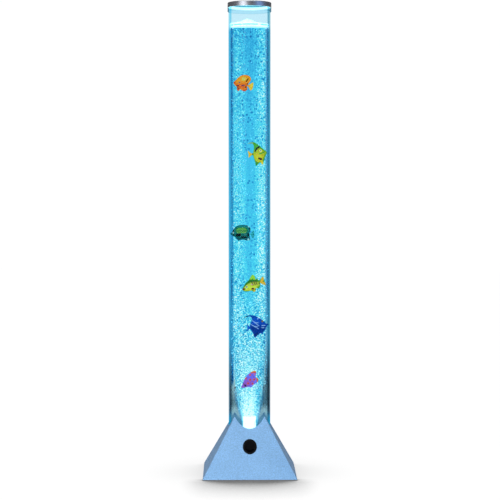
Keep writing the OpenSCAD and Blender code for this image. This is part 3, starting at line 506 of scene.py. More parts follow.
def relief(tree, height, deep, strength, **settings):
    """A bump so many mm deep"""
    return add(tree, "Bump", {"Height": height, "Distance": deep * MM, "Strength": strength}, **settings)


def slant(tree):
    """How far the surface turns from the eye: 0 face on, 1 along it"""
    return add(tree, "LayerWeight", {"Blend": 0.5}).outputs["Facing"]


def axes(tree, place):
    """The x, y and z of a place"""
    return tuple(add(tree, "SeparateXYZ", {0: place}).outputs)


def from_axis(tree, x, y):
    """How far a place is from the column's axis"""
    flat = add(tree, "CombineXYZ", {0: x, 1: y})
    return add(tree, "VectorMath", {0: flat}, operation="LENGTH").outputs["Value"]


def start_material(name):
    """A new material, its tree, and the place on the object, for its patterns"""
    material = bpy.data.materials.new(name)
    material.use_nodes = True
    material.node_tree.nodes.clear()
    tree = material.node_tree
    return material, tree, add(tree, "TexCoord").outputs["Object"]


def end_material(material, shader):
    """Wires a material's surface up and hands the material back"""
    add(material.node_tree, "OutputMaterial", {"Surface": shader})
    return material


def end_solid(material, wires):
    """Ends a material that is one principled surface"""
    return end_material(material, add(material.node_tree, "BsdfPrincipled", wires))


# What each plain finish is made of: colour, metal, roughness, IOR, grain in mm, how much
# the grain shows in the colour, how deep it is in mm, and the nodes that get it. Grain under 0.5 mm is too fine
# for the picture and is drawn as coarse as it needs to show.
PLAIN_FINISHES = {
    # Injection-moulded ABS with a fine spark-eroded face: even, slightly chalky black
    "moulded black ABS": ("#17181A", 0.0, 0.46, 1.54, 0.5, 0.10, 0.02, ["base_plate", "dc_jack"]),
    # Natural rubber feet, dusty and soft-edged
    "moulded black rubber": (
        "#1B1B1C", 0.0, 0.72, 1.52, 1.2, 0.16, 0.04,
        ["rubber_feet", "tube_seal", "pump_mounts"],
    ),
    # Zinc-plated steel screws: cool metal with turning marks
    "zinc-plated steel": (
        "#C7CACD", 1.0, 0.32, 1.45, 0.6, 0.08, 0.01,
        ["plate_screws", "sensor_screws", "board_screws", "led_screws", "pump_pivot"],
    ),
    # Nickel-plated brass nut: warm white metal
    "nickel-plated brass": ("#D2CCBE", 1.0, 0.24, 1.45, 0.6, 0.06, 0.01, ["dc_jack_nut"]),
    # Turned brass, a little tarnished
    "turned brass": ("#C9A24A", 1.0, 0.30, 1.45, 0.8, 0.14, 0.01, ["air_nipple", "nipple_nut"]),
    # Epoxy components on the board: dark grey with pale printed tops left bare
    "dark epoxy": ("#33363B", 0.0, 0.50, 1.55, 0.9, 0.18, 0.02, ["ir_receiver", "control_parts"]),
    # Grey polystyrene pump case, lightly textured
    "textured grey polystyrene": (
        "#50555C", 0.0, 0.55, 1.57, 0.7, 0.12, 0.03,
        ["pump_case", "pump_cover"],
    ),
    # Laminated silicon steel core, with the laminations' edges along it
    "laminated core steel": ("#8A8D92", 0.9, 0.45, 1.45, 0.5, 0.20, 0.03, ["pump_core"]),
    # Acetal arm, waxy off-white
    "natural acetal": ("#E8E4DA", 0.0, 0.38, 1.48, 1.5, 0.05, 0.01, ["pump_arm"]),
    # Sintered ferrite magnet: dark grey, matt, with small chips
    "sintered ferrite": ("#6A6E75", 0.0, 0.62, 1.50, 0.8, 0.22, 0.03, ["pump_magnet"]),
    # White glass-filled nylon of the valves
    "white nylon": ("#E9EBEA", 0.0, 0.42, 1.53, 1.0, 0.05, 0.01, ["check_valve", "pump_valve_block"]),
    # Sintered mineral air stone: blue-grey grit
    "sintered air stone": ("#7C93A8", 0.0, 0.90, 1.50, 0.9, 0.40, 0.15, ["air_stone"]),
    # Extruded silicone hose, milky and clear
    "milky silicone": ("#DDEFF2", 0.0, 0.34, 1.41, 2.0, 0.04, 0.01, ["hose_lower", "hose_upper"]),
    # Extruded PVC insulation of the wires: one even colour with a soft sheen
    "black PVC wire": ("#161618", 0.0, 0.45, 1.53, 1.5, 0.08, 0.01, ["power_wires"]),
    "red PVC wire": ("#B3261E", 0.0, 0.45, 1.53, 1.5, 0.08, 0.01, ["pump_wires"]),
    "white PVC wire": ("#E4E4E0", 0.0, 0.45, 1.53, 1.5, 0.05, 0.01, ["led_wires"]),
    "grey PVC wire": ("#8B8E90", 0.0, 0.45, 1.53, 1.5, 0.08, 0.01, ["sensor_wires"]),
}


def plain_finish(name):
    """One of the plain finishes, with its grain in the colour, the gloss and the surface"""
    tone, metal, rough, ior, grain, show, deep, _ = PLAIN_FINISHES[name]
    material, tree, place = start_material(name)
    fine = speckle(tree, place, grain, 3.0)
    broad = speckle(tree, place, 14, 2.0)
    both = calc(tree, "ADD", fine, broad)
    light = remap(tree, both, 0.6, 1.4, 1 - show, 1 + show)
    body = scaled(tree, linear(tone), light)
    shine = remap(tree, both, 0.6, 1.4, rough - 0.06, rough + 0.08)
    bump = relief(tree, fine, deep, 0.6)
    return end_solid(material, {
        "Base Color": body, "Metallic": metal, "Roughness": shine, "IOR": ior, "Normal": bump,
    })


def base_paint(tone):
    """Satin metallic lacquer sprayed on moulded ABS: even blue, with fine bright flake and
    a slight orange peel that softens the highlights"""
    material, tree, place = start_material("satin flake lacquer on ABS")
    # Flake is about 0.05 mm and is drawn at 2.2 mm, so that it shows in the picture
    flake = speckle(tree, place, 2.2, 2.0, 0.7)
    cloud = speckle(tree, place, 38, 2.0)
    glint = remap(tree, flake, 0.36, 0.64, 0.84, 1.18)
    drift = remap(tree, cloud, 0.3, 0.7, 0.97, 1.03)
    level = calc(tree, "MULTIPLY", glint, drift)
    body = scaled(tree, tuple(tone), level)
    shine = remap(tree, flake, 0.3, 0.7, 0.50, 0.40)
    peel = speckle(tree, place, 2.2, 2.0)
    bump = relief(tree, peel, 0.03, 0.5)
    return end_solid(material, {
        "Base Color": body, "Metallic": 0.25, "Roughness": shine, "IOR": 1.5, "Normal": bump,
    })


def edge_tint(tree, clear, grazing, start, end):
    """Tint of a clear wall: light seen along it crosses more of it, so it deepens there"""
    return mixed(tree, ease(tree, slant(tree), start, end), clear, grazing)


def clear_acrylic(name, tint, edge, start, end, low_glow):
    """Extruded clear acrylic: almost unseen face on, blue along its edge, with a hard
    gloss and a few fine die lines along the tube"""
    material, tree, place = start_material(name)
    across, _, height = axes(tree, place)
    # At its foot the wall carries the lamps' cyan light up out of the base
    foot = ease(tree, height, 0.128, 0.150, low_glow, 0.0)
    # Along its edge the wall is painted with the colour of what lies behind it: grey low down,
    # blue beside the stream and pale above the water, painted a little darker towards the right
    level = remap(tree, height, 0.12, TUBE_TOP)
    wet, air = WATER_ENDS
    graded = add(tree, "ValToRGB", {"Fac": level}, stops=[
        (0.02, (0.34, 0.50, 0.60)), (0.08, (0.36, 0.48, 0.55)), (0.13, (0.33, 0.56, 0.68)),
        (0.20, (0.30, 0.70, 0.86)), (0.48, (0.32, 0.75, 0.91)), (wet, (0.32, 0.74, 0.90)),
        (air, (0.60, 0.88, 0.96)),
    ]).outputs["Color"]
    right = remap(tree, across, -30 * MM, 30 * MM, 1.0, 0.86)
    right_darkened = scaled(tree, graded, right)
    dry = remap(tree, level, wet, air)
    # Above the water the wall looks paler face on and mirrors less
    front = mixed(tree, dry, tuple(tint), (0.87, 0.967, 1.0))
    deep = edge_tint(tree, front, edge or right_darkened, start, end)
    through = add(tree, "BsdfTransparent", {"Color": deep})
    # Die lines run along the tube, about 3 mm apart
    lines = speckle(tree, place, 3, 1.0, stretch=(1, 1, 0.01))
    bump = relief(tree, lines, 0.02, 0.4)
    rough = remap(tree, lines, 0.3, 0.7, 0.05, 0.11)
    skin = add(tree, "BsdfPrincipled", {
        "Base Color": linear("#0E2A3C"), "Roughness": rough, "IOR": 1.49, "Normal": bump,
    })
    fresnel = add(tree, "Fresnel", {"IOR": 1.49})
    most = remap(tree, dry, 0.0, 1.0, 0.05, 0.015)
    few = calc(tree, "MINIMUM", fresnel, most)
    wall = add(tree, "MixShader", {0: few, 1: through, 2: skin})
    along = remap(tree, slant(tree), 0.55, 0.8)
    lit = calc(tree, "MULTIPLY", foot, along)
    light = add(tree, "Emission", {"Color": linear("#19B4E6"), "Strength": 1.0})
    return end_material(material, add(tree, "MixShader", {0: lit, 1: wall, 2: light}))


def water_skin(edge):
    """Clean water against the wall: clear face on, blue along the wall, and grey-green low
    down, where the lamps' light passes it by"""
    material, tree, place = start_material("clear lit water")
    x, _, z = axes(tree, place)
    # The grey reaches higher on the right than on the left
    tilt = calc(tree, "MULTIPLY", x, -0.7)
    height = calc(tree, "ADD", z, tilt)
    below = ease(tree, height, 0.15, 0.30, 1.0, 0.0)
    foot = remap(tree, z, 0.142, 0.166, 0.12, 1.0)
    low = calc(tree, "MULTIPLY", below, foot)
    # Reflections of the room pass down it in upright stripes, about 6 mm apart
    stripes = speckle(tree, place, 6, 3.0, 0.7, stretch=(1, 1, 0.02))
    uneven = remap(tree, stripes, 0.40, 0.60, 0.62, 1.25)
    grey = scaled(tree, linear("#9CB0BC"), uneven)
    facing = slant(tree)
    begin = remap(tree, z, 0.17, 0.21, 0.06, 0.14)
    full = remap(tree, z, 0.17, 0.21, 0.24, 0.42)
    aslant = ease(tree, facing, begin, full)
    greyed = calc(tree, "MULTIPLY", low, aslant)
    face = mixed(tree, greyed, (0.97, 0.99, 1.0), grey)
    # Along the left wall a darker band stands where the stream's dark edge would be
    outer = remap(tree, facing, 0.58, 0.70)
    rightward = remap(tree, x, -20 * MM, 20 * MM, 0.0, 0.8)
    paler = calc(tree, "MAXIMUM", outer, rightward)
    band = mixed(tree, paler, linear("#7A8C97"), linear("#A3B4BE"))
    dim = scaled(tree, band, uneven)
    along = mixed(tree, low, tuple(edge), dim)
    share = ease(tree, facing, 0.42, 0.62)
    tint = mixed(tree, share, face, along)
    # Beside the cup, within the collar, the water itself glows a little
    off_middle = calc(tree, "ABSOLUTE", x)
    beside = remap(tree, off_middle, 17 * MM, 24 * MM, 0.0, 0.55)
    collar = remap(tree, z, 0.138, 0.148, 1.0, 0.0)
    glow = calc(tree, "MULTIPLY", beside, collar)
    clear = add(tree, "BsdfTransparent", {"Color": tint})
    light = add(tree, "Emission", {"Color": linear("#6F9BB8"), "Strength": 1.0})
    return end_material(material, add(tree, "MixShader", {0: glow, 1: clear, 2: light}))


def stream_edge(radius):
    """Where the fine bubbles stop, the water bends the light away: a dark, broken line
    along both sides of the stream"""
    material, tree, place = start_material("water at the edge of the stream")
    share = ease(tree, slant(tree), 0.48, 0.53)
    # The line breaks every 6 mm or so
    breaks = speckle(tree, place, 6, 4.0, stretch=(0.4, 0.4, 1))
    gaps = remap(tree, breaks, 0.52, 0.70, 1.0, 0.8)
    # It is fainter on the right, and there more so low down
    x, y, z = axes(tree, place)
    low = remap(tree, z, 0.20, 0.36, 0.35, 0.85)
    faint = remap(tree, x, -20 * MM, 20 * MM, 1.0, low)
    whole = calc(tree, "MULTIPLY", gaps, faint)
    # It sets in 70 to 84 mm above the cup
    begun = remap(tree, z, CUP_TOP + 70 * MM, CUP_TOP + 84 * MM)
    risen = calc(tree, "MULTIPLY", whole, begun)
    # Only the round sides carry it, not the front that the fish swim before
    round_side = remap(tree, from_axis(tree, x, y), radius - 2.5 * MM, radius - 1 * MM)
    broken = calc(tree, "MULTIPLY", risen, round_side)
    depth = calc(tree, "MULTIPLY", share, broken)
    tint = mixed(tree, depth, (0.99, 1.0, 1.0), (0.04, 0.37, 0.65))
    return end_material(material, add(tree, "BsdfTransparent", {"Color": tint}))


def grey_stops(*stops):
    """Ramp stops that carry a plain factor"""
    return [(at, (level, level, level)) for at, level in stops]


def stream_light(mid, level):
    """Water thick with fine bubbles and lit from below: near white over the cup, cyan half
    way and deeper blue under the foam, with faint streaks and the outlines of bubbles"""
    material, tree, place = start_material("bubbly water lit from below")
    across, _, height = axes(tree, place)
    rise = remap(tree, height, CUP_TOP, level)
    base = add(tree, "ValToRGB", {"Fac": rise}, stops=grey_stops(
        (0.0, 0.64), (0.05, 0.58), (0.10, 0.55), (0.2, 0.53),
        (0.35, 0.53), (0.7, 0.48), (0.9, 0.37), (1.0, 0.33),
    ))
    # Painted reflections: paler upright bands along both sides from about 0.3 m up, brightest on the right; low
    # down the bubbles gather in a pale plume
    over = remap(tree, across, -40 * MM, 40 * MM)
    side = add(tree, "ValToRGB", {"Fac": over}, stops=grey_stops(
        (0.0, 0.10), (0.12, 0.13), (0.30, 0.11), (0.43, 0.0), (0.55, 0.0),
        (0.68, 0.08), (0.80, 0.19), (0.92, 0.26), (1.0, 0.16),
    ))
    reflection_height = remap(tree, height, 0.30, 0.48)
    beside = calc(tree, "MULTIPLY", side, reflection_height)
    off_middle = calc(tree, "ABSOLUTE", calc(tree, "ADD", across, 3 * MM))
    reach = remap(tree, height, CUP_TOP, PLUME_TOP, 15 * MM, 32 * MM)
    centred = calc(tree, "DIVIDE", off_middle, reach)
    plume = add(tree, "ValToRGB", {"Fac": rise}, stops=grey_stops(
        (0.0, 0.62), (0.03, 0.48), (0.055, 0.30), (0.15, 0.20), (0.20, 0.14), (0.31, 0.0),
    ))
    within = remap(tree, centred, 0.6, 1.15, plume, 0.0)
    # Bubbles too fine to draw stand as clusters of about 2.3 mm, plainer up the middle
    fine = speckle(tree, place, 2.3, 1.5, 0.6)
    speck = remap(tree, fine, 0.38, 0.62, -1.0, 1.0, clamp=False)
    from_middle = calc(tree, "ABSOLUTE", across)
    least = remap(tree, height, 0.30, 0.50, 0.36, 0.08)
    most = remap(tree, height, 0.30, 0.50, 0.42, 0.24)
    swing = remap(tree, from_middle, 6 * MM, 22 * MM, least, most)
    specks = calc(tree, "MULTIPLY", speck, swing)
    # Streaks rise with the bubbles, about 7 mm apart
    streaks = speckle(tree, place, 7, 2.0, 0.5, stretch=(1, 1, 0.04))
    streak = remap(tree, streaks, 0.35, 0.65, -0.06, 0.06)
    # Dark dots: the rims of single bubbles, 8 mm apart and thickest near the right side
    dots = add(tree, "TexVoronoi", {"Vector": place, "Scale": 1 / (8 * MM), "Randomness": 1.0})
    dark = remap(tree, dots.outputs["Distance"], 0.26, 0.42, -0.45, 0.0)
    patch = speckle(tree, place, 22, 2.0)
    here = remap(tree, patch, 0.44, 0.58, 0.0, 0.75)
    near_side = remap(tree, across, 20 * MM, 30 * MM, 0.0, 0.8)
    where = calc(tree, "MAXIMUM", here, near_side)
    dark_now = calc(tree, "MULTIPLY", dark, where)
    # Pale arcs: the lit outlines of larger bubbles, 9 mm apart
    rings = add(tree, "TexVoronoi", {"Vector": place, "Scale": 1 / (9 * MM), "Randomness": 1.0})
    off = calc(tree, "SUBTRACT", rings.outputs["Distance"], 0.46)
    size = calc(tree, "ABSOLUTE", off)
    ring_level = remap(tree, height, 0.75, 0.95, 0.05, 0.18)
    arc = remap(tree, size, 0.03, 0.10, ring_level, 0.0)
    shown = remap(tree, patch, 0.48, 0.56)
    arc_now = calc(tree, "MULTIPLY", arc, shown)
    total = base.outputs["Color"]
    for part in (beside, within, specks, streak, dark_now, arc_now):
        total = calc(tree, "ADD", total, part)
    final = add(tree, "ValToRGB", {"Fac": total}, stops=[
        (0.0, (0.012, 0.15, 0.40)), (0.25, (0.030, 0.34, 0.65)), (0.5, tuple(mid)),
        (0.70, (0.10, 0.78, 0.90)), (0.86, (0.34, 0.95, 0.93)), (1.0, (1.0, 1.05, 1.0)),
    ])
    # The lamps make it the brighter low down
    gain = remap(tree, height, 0.14, PLUME_TOP, 1.14, 1.10)
    return end_material(material, add(tree, "Emission", {"Color": final, "Strength": gain}))


def haze_light():
    """Sparse fine bubbles round the cup: a cyan glow that one sees through, in specks"""
    material, tree, place = start_material("sparse bubbles lit from below")
    specks = speckle(tree, place, 3.0, 3.0, 0.75)
    shown = remap(tree, specks, 0.40, 0.58, 0.12, 0.85)
    height = axes(tree, place)[2]
    fade = remap(tree, height, 0.175, 0.202, 1.0, 0.0)
    foot = remap(tree, height, 0.104, 0.125, 0.3, 1.0)
    held = calc(tree, "MULTIPLY", fade, foot)
    # It shows beside the stream more than before it, and turns deeper blue at its side
    facing = slant(tree)
    by_side = add(tree, "ValToRGB", {"Fac": facing}, stops=grey_stops(
        (0.0, 0.10), (0.20, 0.30), (0.38, 0.85), (0.6, 0.8), (0.9, 0.5),
    ))
    thick = calc(tree, "MULTIPLY", held, by_side)
    share = calc(tree, "MULTIPLY", shown, thick)
    tone = mixed(tree, specks, (0.03, 0.75, 1.5), (0.7, 2.2, 2.4))
    aside = remap(tree, facing, 0.24, 0.58, 0.0, 0.95)
    deep = mixed(tree, aside, tone, (0.015, 0.30, 0.62))
    light = add(tree, "Emission", {"Color": deep, "Strength": 1.0})
    clear = add(tree, "BsdfTransparent", {"Color": (1.0, 1.0, 1.0)})
    return end_material(material, add(tree, "MixShader", {0: share, 1: clear, 2: light}))


def bubble_skin():
    """Air bubbles in lit water: bright in the middle, with the dark rim where they bend
    the light away"""
    material, tree, place = start_material("air bubbles in lit water")
    rise = remap(tree, axes(tree, place)[2], 0.13, 1.06)
    tones = add(tree, "ValToRGB", {"Fac": rise}, stops=[
        (0.0, (1.1, 1.6, 1.5)), (0.15, (0.45, 1.0, 1.0)),
        (0.4, (0.25, 0.88, 1.0)), (1.0, (0.16, 0.66, 0.86)),
    ])
    spread = speckle(tree, place, 5, 1.0)
    level = remap(tree, spread, 0.4, 0.6, 0.45, 1.25)
    glow = scaled(tree, tones.outputs["Color"], level)
    rim = remap(tree, slant(tree), 0.35, 0.75)
    light = mixed(tree, rim, glow, (0.03, 0.30, 0.55))
    return end_solid(material, {
        "Base Color": linear("#5FA9C8"), "Roughness": 0.08, "IOR": 1.33,
        "Emission Color": light, "Emission Strength": 0.9,
    })


def foam_light(tone, line):
    """Wet foam on the water, lit through: white bubbles with cyan where they meet"""
    material, tree, place = start_material("lit wet foam")
    cells = add(tree, "TexVoronoi", {"Vector": place, "Scale": 1 / (4.5 * MM)}, feature="DISTANCE_TO_EDGE")
    walls = remap(tree, cells.outputs["Distance"], 0.0, 0.14, 0.55, 0.0)
    patch = speckle(tree, place, 16, 2.0)
    where = remap(tree, patch, 0.42, 0.62)
    some = calc(tree, "MULTIPLY", walls, where)
    whole = mixed(tree, some, tuple(tone), linear("#4FD3E6"))
    # The water's surface shows through the foam as a broken cyan line, 2 mm thick with soft edges
    off = calc(tree, "ABSOLUTE", calc(tree, "SUBTRACT", axes(tree, place)[2], line))
    near = remap(tree, off, 0.9 * MM, 2.0 * MM, 0.9, 0.0)
    wave = speckle(tree, place, 12, 2.0)
    kept = remap(tree, wave, 0.40, 0.52, 0.1, 1.0)
    drawn = calc(tree, "MULTIPLY", near, kept)
    body = mixed(tree, drawn, whole, (0.06, 0.60, 0.75))
    bump = relief(tree, cells.outputs["Distance"], 1.0, 0.5)
    return end_solid(material, {
        "Base Color": body, "Roughness": 0.25, "IOR": 1.33, "Normal": bump,
        "Emission Color": body, "Emission Strength": 0.95,
    })


def plated_cap(tone):
    """Vacuum-plated ABS, polished: dark chrome outside, and inside it the bare white
    moulding that the lit foam brightens"""
    material, tree, place = start_material("vacuum-plated ABS")
    # Fine polishing lines run round the band, about 0.9 mm apart
    lines = speckle(tree, place, 0.9, 2.0, stretch=(0.06, 0.06, 1))
    rough = remap(tree, lines, 0.3, 0.7, 0.36, 0.43)
    haze = speckle(tree, place, 30, 2.0)
    level = remap(tree, haze, 0.3, 0.7, 0.92, 1.06)
    body = scaled(tree, tuple(tone), level)
    metal = add(tree, "BsdfPrincipled", {"Base Color": body, "Metallic": 1.0, "Roughness": rough})
    x, y, z = axes(tree, place)
    # The wall of the rim catches the light from the foam, and the ceiling over it less
    above = remap(tree, z, TUBE_TOP - 3.5 * MM, TUBE_TOP - 1.0 * MM)
    inner_tone = mixed(tree, above, (1.5, 1.5, 1.35), (0.08, 0.26, 0.30))
    inner = add(tree, "BsdfPrincipled", {
        "Base Color": linear("#8FB4B8"), "Roughness": 0.4, "IOR": 1.54,
        "Emission Color": inner_tone, "Emission Strength": 1.2,
    })
    # Inside is nearer the column's axis than the middle of the rim's wall, and below the top
    near = calc(tree, "LESS_THAN", from_axis(tree, x, y), RIM_MIDDLE)
    under = calc(tree, "LESS_THAN", z, TUBE_TOP + 1.5 * MM)
    inside = calc(tree, "MULTIPLY", near, under)
    return end_material(material, add(tree, "MixShader", {0: inside, 1: metal, 2: inner}))


def bezel_plastic():
    """Gloss-moulded black ABS of the receiver's bezel"""
    material, tree, place = start_material("gloss black ABS")
    marks = speckle(tree, place, 1.2, 3.0)
    rough = remap(tree, marks, 0.3, 0.7, 0.16, 0.24)
    bump = relief(tree, marks, 0.01, 0.4)
    return end_solid(material, {
        "Base Color": linear("#050506"), "Roughness": rough, "IOR": 1.5, "Normal": bump,
    })


def smoked_window(tone):
    """Smoked acrylic that only infrared passes: near black, under a coat that takes most
    of its reflections"""
    material, tree, place = start_material("smoked infrared acrylic")
    swirl = speckle(tree, place, 9, 1.0)
    body = mixed(tree, swirl, tuple(tone), linear("#05060A"))
    rough = remap(tree, swirl, 0.3, 0.7, 0.03, 0.06)
    return end_solid(material, {
        "Base Color": body, "Roughness": rough, "IOR": 1.49, "Specular IOR Level": 0.08,
    })


def board_laminate(name, tone, copper):
    """Glass-epoxy board under solder mask: deep colour, with copper tracks that show
    through as a paler grid 2.5 mm apart"""
    material, tree, place = start_material(name)
    grid = add(tree, "TexBrick", {
        "Vector": place, "Scale": 1.0, "Mortar Size": 0.25 * MM,
        "Brick Width": 7.5 * MM, "Row Height": 2.5 * MM,
        "Color1": linear(tone), "Color2": linear(tone), "Mortar": linear(copper),
    })
    weave = speckle(tree, place, 0.8, 2.0)
    level = remap(tree, weave, 0.3, 0.7, 0.9, 1.1)
    body = scaled(tree, grid.outputs["Color"], level)
    bump = relief(tree, grid.outputs["Fac"], 0.04, 0.5)
    return end_solid(material, {"Base Color": body, "Roughness": 0.35, "IOR": 1.55, "Normal": bump})


def wound_copper():
    """Enamelled copper wire wound in layers, 0.8 mm from turn to turn"""
    material, tree, place = start_material("enamelled copper winding")
    # A wave of scale 1 turns once in 0.314 units
    wires = {"Vector": place, "Scale": 0.314 / (0.8 * MM), "Distortion": 0.4}
    turns = add(tree, "TexWave", wires, bands_direction="X")
    body = mixed(tree, turns.outputs["Fac"], linear("#6E3A12"), linear("#C87A34"))
    bump = relief(tree, turns.outputs["Fac"], 0.2, 0.8)
    return end_solid(material, {"Base Color": body, "Metallic": 0.7, "Roughness": 0.35, "Normal": bump})


def lit_moulding(name, tone, glow, strength, grain):
    """A translucent white moulding with a lamp behind it: bright and even, with faint
    flow marks"""
    material, tree, place = start_material(name)
    marks = speckle(tree, place, grain, 2.0)
    level = remap(tree, marks, 0.3, 0.7, 0.93, 1.05)
    light = scaled(tree, linear(glow), level)
    return end_solid(material, {
        "Base Color": linear(tone), "Roughness": 0.45, "IOR": 1.5,
        "Emission Color": light, "Emission Strength": strength,
    })


def fish_paint(name):
    """Hand-sprayed PVC fish: its paint is held on the mesh, with moulded scales 1.7 mm
    apart; the water next to it takes nearly all of its gloss"""
    material, tree, place = start_material(name)
    paint = add(tree, "Attribute", attribute_name="paint").outputs["Color"]
    scales = add(tree, "TexVoronoi", {"Vector": place, "Scale": 1 / (1.7 * MM), "Randomness": 0.55})
    shade = remap(tree, scales.outputs["Distance"], 0.1, 0.7, 1.05, 0.9)
    body = scaled(tree, paint, shade)
    bump = relief(tree, scales.outputs["Distance"], 0.12, 0.35, invert=True)
    # The lit water shines through the thin moulding, which keeps half of its own shade
    outside = scaled(tree, body, 0.45)
    return end_solid(material, {
        "Base Color": outside, "Roughness": 0.38, "IOR": 1.5, "Specular IOR Level": 0.08, "Normal": bump,
        "Emission Color": body, "Emission Strength": 0.72,
    })


# ---- Where the fish swim ----


def fish_runs():
    """Each fish's depth, its sides and the heights that it sweeps on its slide"""
    runs = []
    for joint in frame["joints"]:
        if joint["name"].startswith("fish_"):
            low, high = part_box(joint["child"])
            middle = (low.y + high.y) / 2
            ends = [float(v) for v in joint["range_m"]]
            runs.append((joint["child"], middle, low.x, high.x, low.z + min(ends), high.z + max(ends)))
    return runs


def stream_front(z, runs):
    """How far forward the thick stream may come at a height, so that it stays behind the
    fish and meets the levels beside it in a slope"""
    limit = -1.0
    for _, depth, _, _, low, high in runs:
        away = max(low - 3 * MM - z, z - high - 3 * MM, 0)
        limit = max(limit, depth + 7 * MM - away)
    return limit


def stream_width(z, radius):
    """Radius of the stream at a height: it leaves the cup's lid and soon fills the column"""
    # In mm: height over the cup, and radius there
    keys = [
        (0, 16.2), (6, 19), (13, 21.5), (27, 25.8), (44, 29), (68, 32.7), (92, 35.7), (140, 38),
        (180, radius / MM),
    ]
    return float(np.interp((z - CUP_TOP) / MM, *zip(*keys))) * MM


# ---- Operators ----


class LAMP_OT_stage(bpy.types.Operator):
    """Adds the floor, the studio lights and the camera"""

    bl_idname = "lamp.stage"
    bl_label = "Stage"

    def execute(self, context):
        colours = context.scene.lamp_colours
        context.scene.view_settings.view_transform = "Standard"
        self.floor(colours.floor)
        self.world(context.scene)
        # Soft boxes: three in front for the base and the cap, a blue one at the right for the
        # sheen on the cap, a strip at each side for the streaks on the tube, and a broad one
        # overhead. Each has its place, turn in degrees, width and height, power and colour.
        white, sky = (1.0, 1.0, 1.0), (0.25, 0.50, 1.0)
        for name, place, turn, size, power, tone in [
            ("key_light", (-1.2, -2.6, 1.15), 25, (1.9, 1.9), 23, white),
            ("cap_light", (-1.55, -2.28, 1.15), 34, (1.5, 1.7), 28, white),
            ("fill_light", (1.2, -2.8, 1.2), -23, (1.0, 1.6), 35, white),
            ("sky_light", (2.3, -1.7, 1.3), -55, (1.8, 1.8), 14, sky),
            ("left_strip", (-2.0, -0.8, 0.75), 70, (0.3, 2.2), 0.8, white),
            ("right_strip", (2.0, -0.55, 0.75), -75, (0.3, 2.2), 2.4, white),
        ]:
            bpy.ops.object.light_add(type="AREA", location=place)
            lamp = context.object
            lamp.name = name
            lamp.rotation_euler = (math.radians(90), 0, math.radians(-turn))
            lamp.data.shape, (lamp.data.size, lamp.data.size_y) = "RECTANGLE", size
            lamp.data.energy, lamp.data.color = power, tone
            # Only these two show in the plated cap
            lamp.visible_glossy = name in ("cap_light", "sky_light")
            lamp.visible_diffuse = name != "sky_light"
        bpy.ops.object.light_add(type="AREA", location=(0, -0.4, 3.0))
        context.object.name = "top_light"
        context.object.data.size, context.object.data.energy = 1.1, 12
        # Fitted to the photograph: 3.67 m away, 0.70 m high, looking down by 2.5 degrees from a
        # little left of square on
        bpy.ops.object.camera_add(
            location=(-0.0448, -3.6685, 0.6975),
            rotation=(math.radians(90 - 2.536), 0, math.radians(-0.720)),
        )
        camera = context.object
        camera.name = "photo_camera"
        camera.data.lens, camera.data.sensor_width = 110.47, 36
        camera.data.clip_start, camera.data.clip_end = 0.05, 60
        context.scene.camera = camera
        return {"FINISHED"}

    def seen(self, tree):
        """1 where the camera looks, straight or through clear parts, and 0 for other light"""
        path = add(tree, "LightPath")
        return calc(tree, "MAXIMUM", path.outputs["Is Camera Ray"], path.outputs["Is Transmission Ray"])

    def floor(self, tone):
        """A wide white sheet, brighter to the camera than to the lamp"""
        clear_selection()
        bpy.ops.mesh.primitive_circle_add(vertices=96, radius=9, fill_type="NGON")
        floor = bpy.context.object
        floor.name = "studio_floor"
        material, tree, place = start_material("matt white vinyl floor")
        rough = remap(tree, speckle(tree, place, 4, 2.0), 0.3, 0.7, 0.75, 0.85)
        matt = add(tree, "BsdfPrincipled", {
            "Base Color": tuple(tone), "Roughness": rough, "IOR": 1.5, "Specular IOR Level": 0.1,
        })
        # Painted shadow: the sheet is darkened where the base hems it in, and painted darker still in front of
        # the base, across its width
        shade = add(tree, "AmbientOcclusion", {"Distance": 0.32}, samples=32)
        painted_shadow = calc(tree, "SUBTRACT", 1.0, shade.outputs["AO"])
        x, y, _ = axes(tree, place)
        front = remap(tree, y, -0.125, -0.085, 3.2, 0.0)
        within = ease(tree, calc(tree, "ABSOLUTE", x), 0.10, 0.17, front, 0.0)
        more = calc(tree, "ADD", within, 0.8)
        dim = calc(tree, "MULTIPLY", painted_shadow, more)
        even = remap(tree, dim, 0.0, 0.86, 1.06, 0.16)
        bright = add(tree, "Emission", {"Color": (1.0, 1.0, 1.0), "Strength": even})
        share = calc(tree, "MULTIPLY", self.seen(tree), 0.96)
        end_material(material, add(tree, "MixShader", {0: share, 1: matt, 2: bright}))
        floor.data.materials.append(material)

    def world(self, scene):
        """A white studio round it all, dim to the lamp and bright to the camera"""
        scene.world = bpy.data.worlds.new("studio")
        scene.world.use_nodes = True
        tree = scene.world.node_tree
        tree.nodes.clear()
        strength = remap(tree, self.seen(tree), 0.0, 1.0, 0.17, 1.02)
        light = add(tree, "Background", {"Color": (1.0, 1.0, 1.0), "Strength": strength})
        add(tree, "OutputWorld", {"Surface": light})


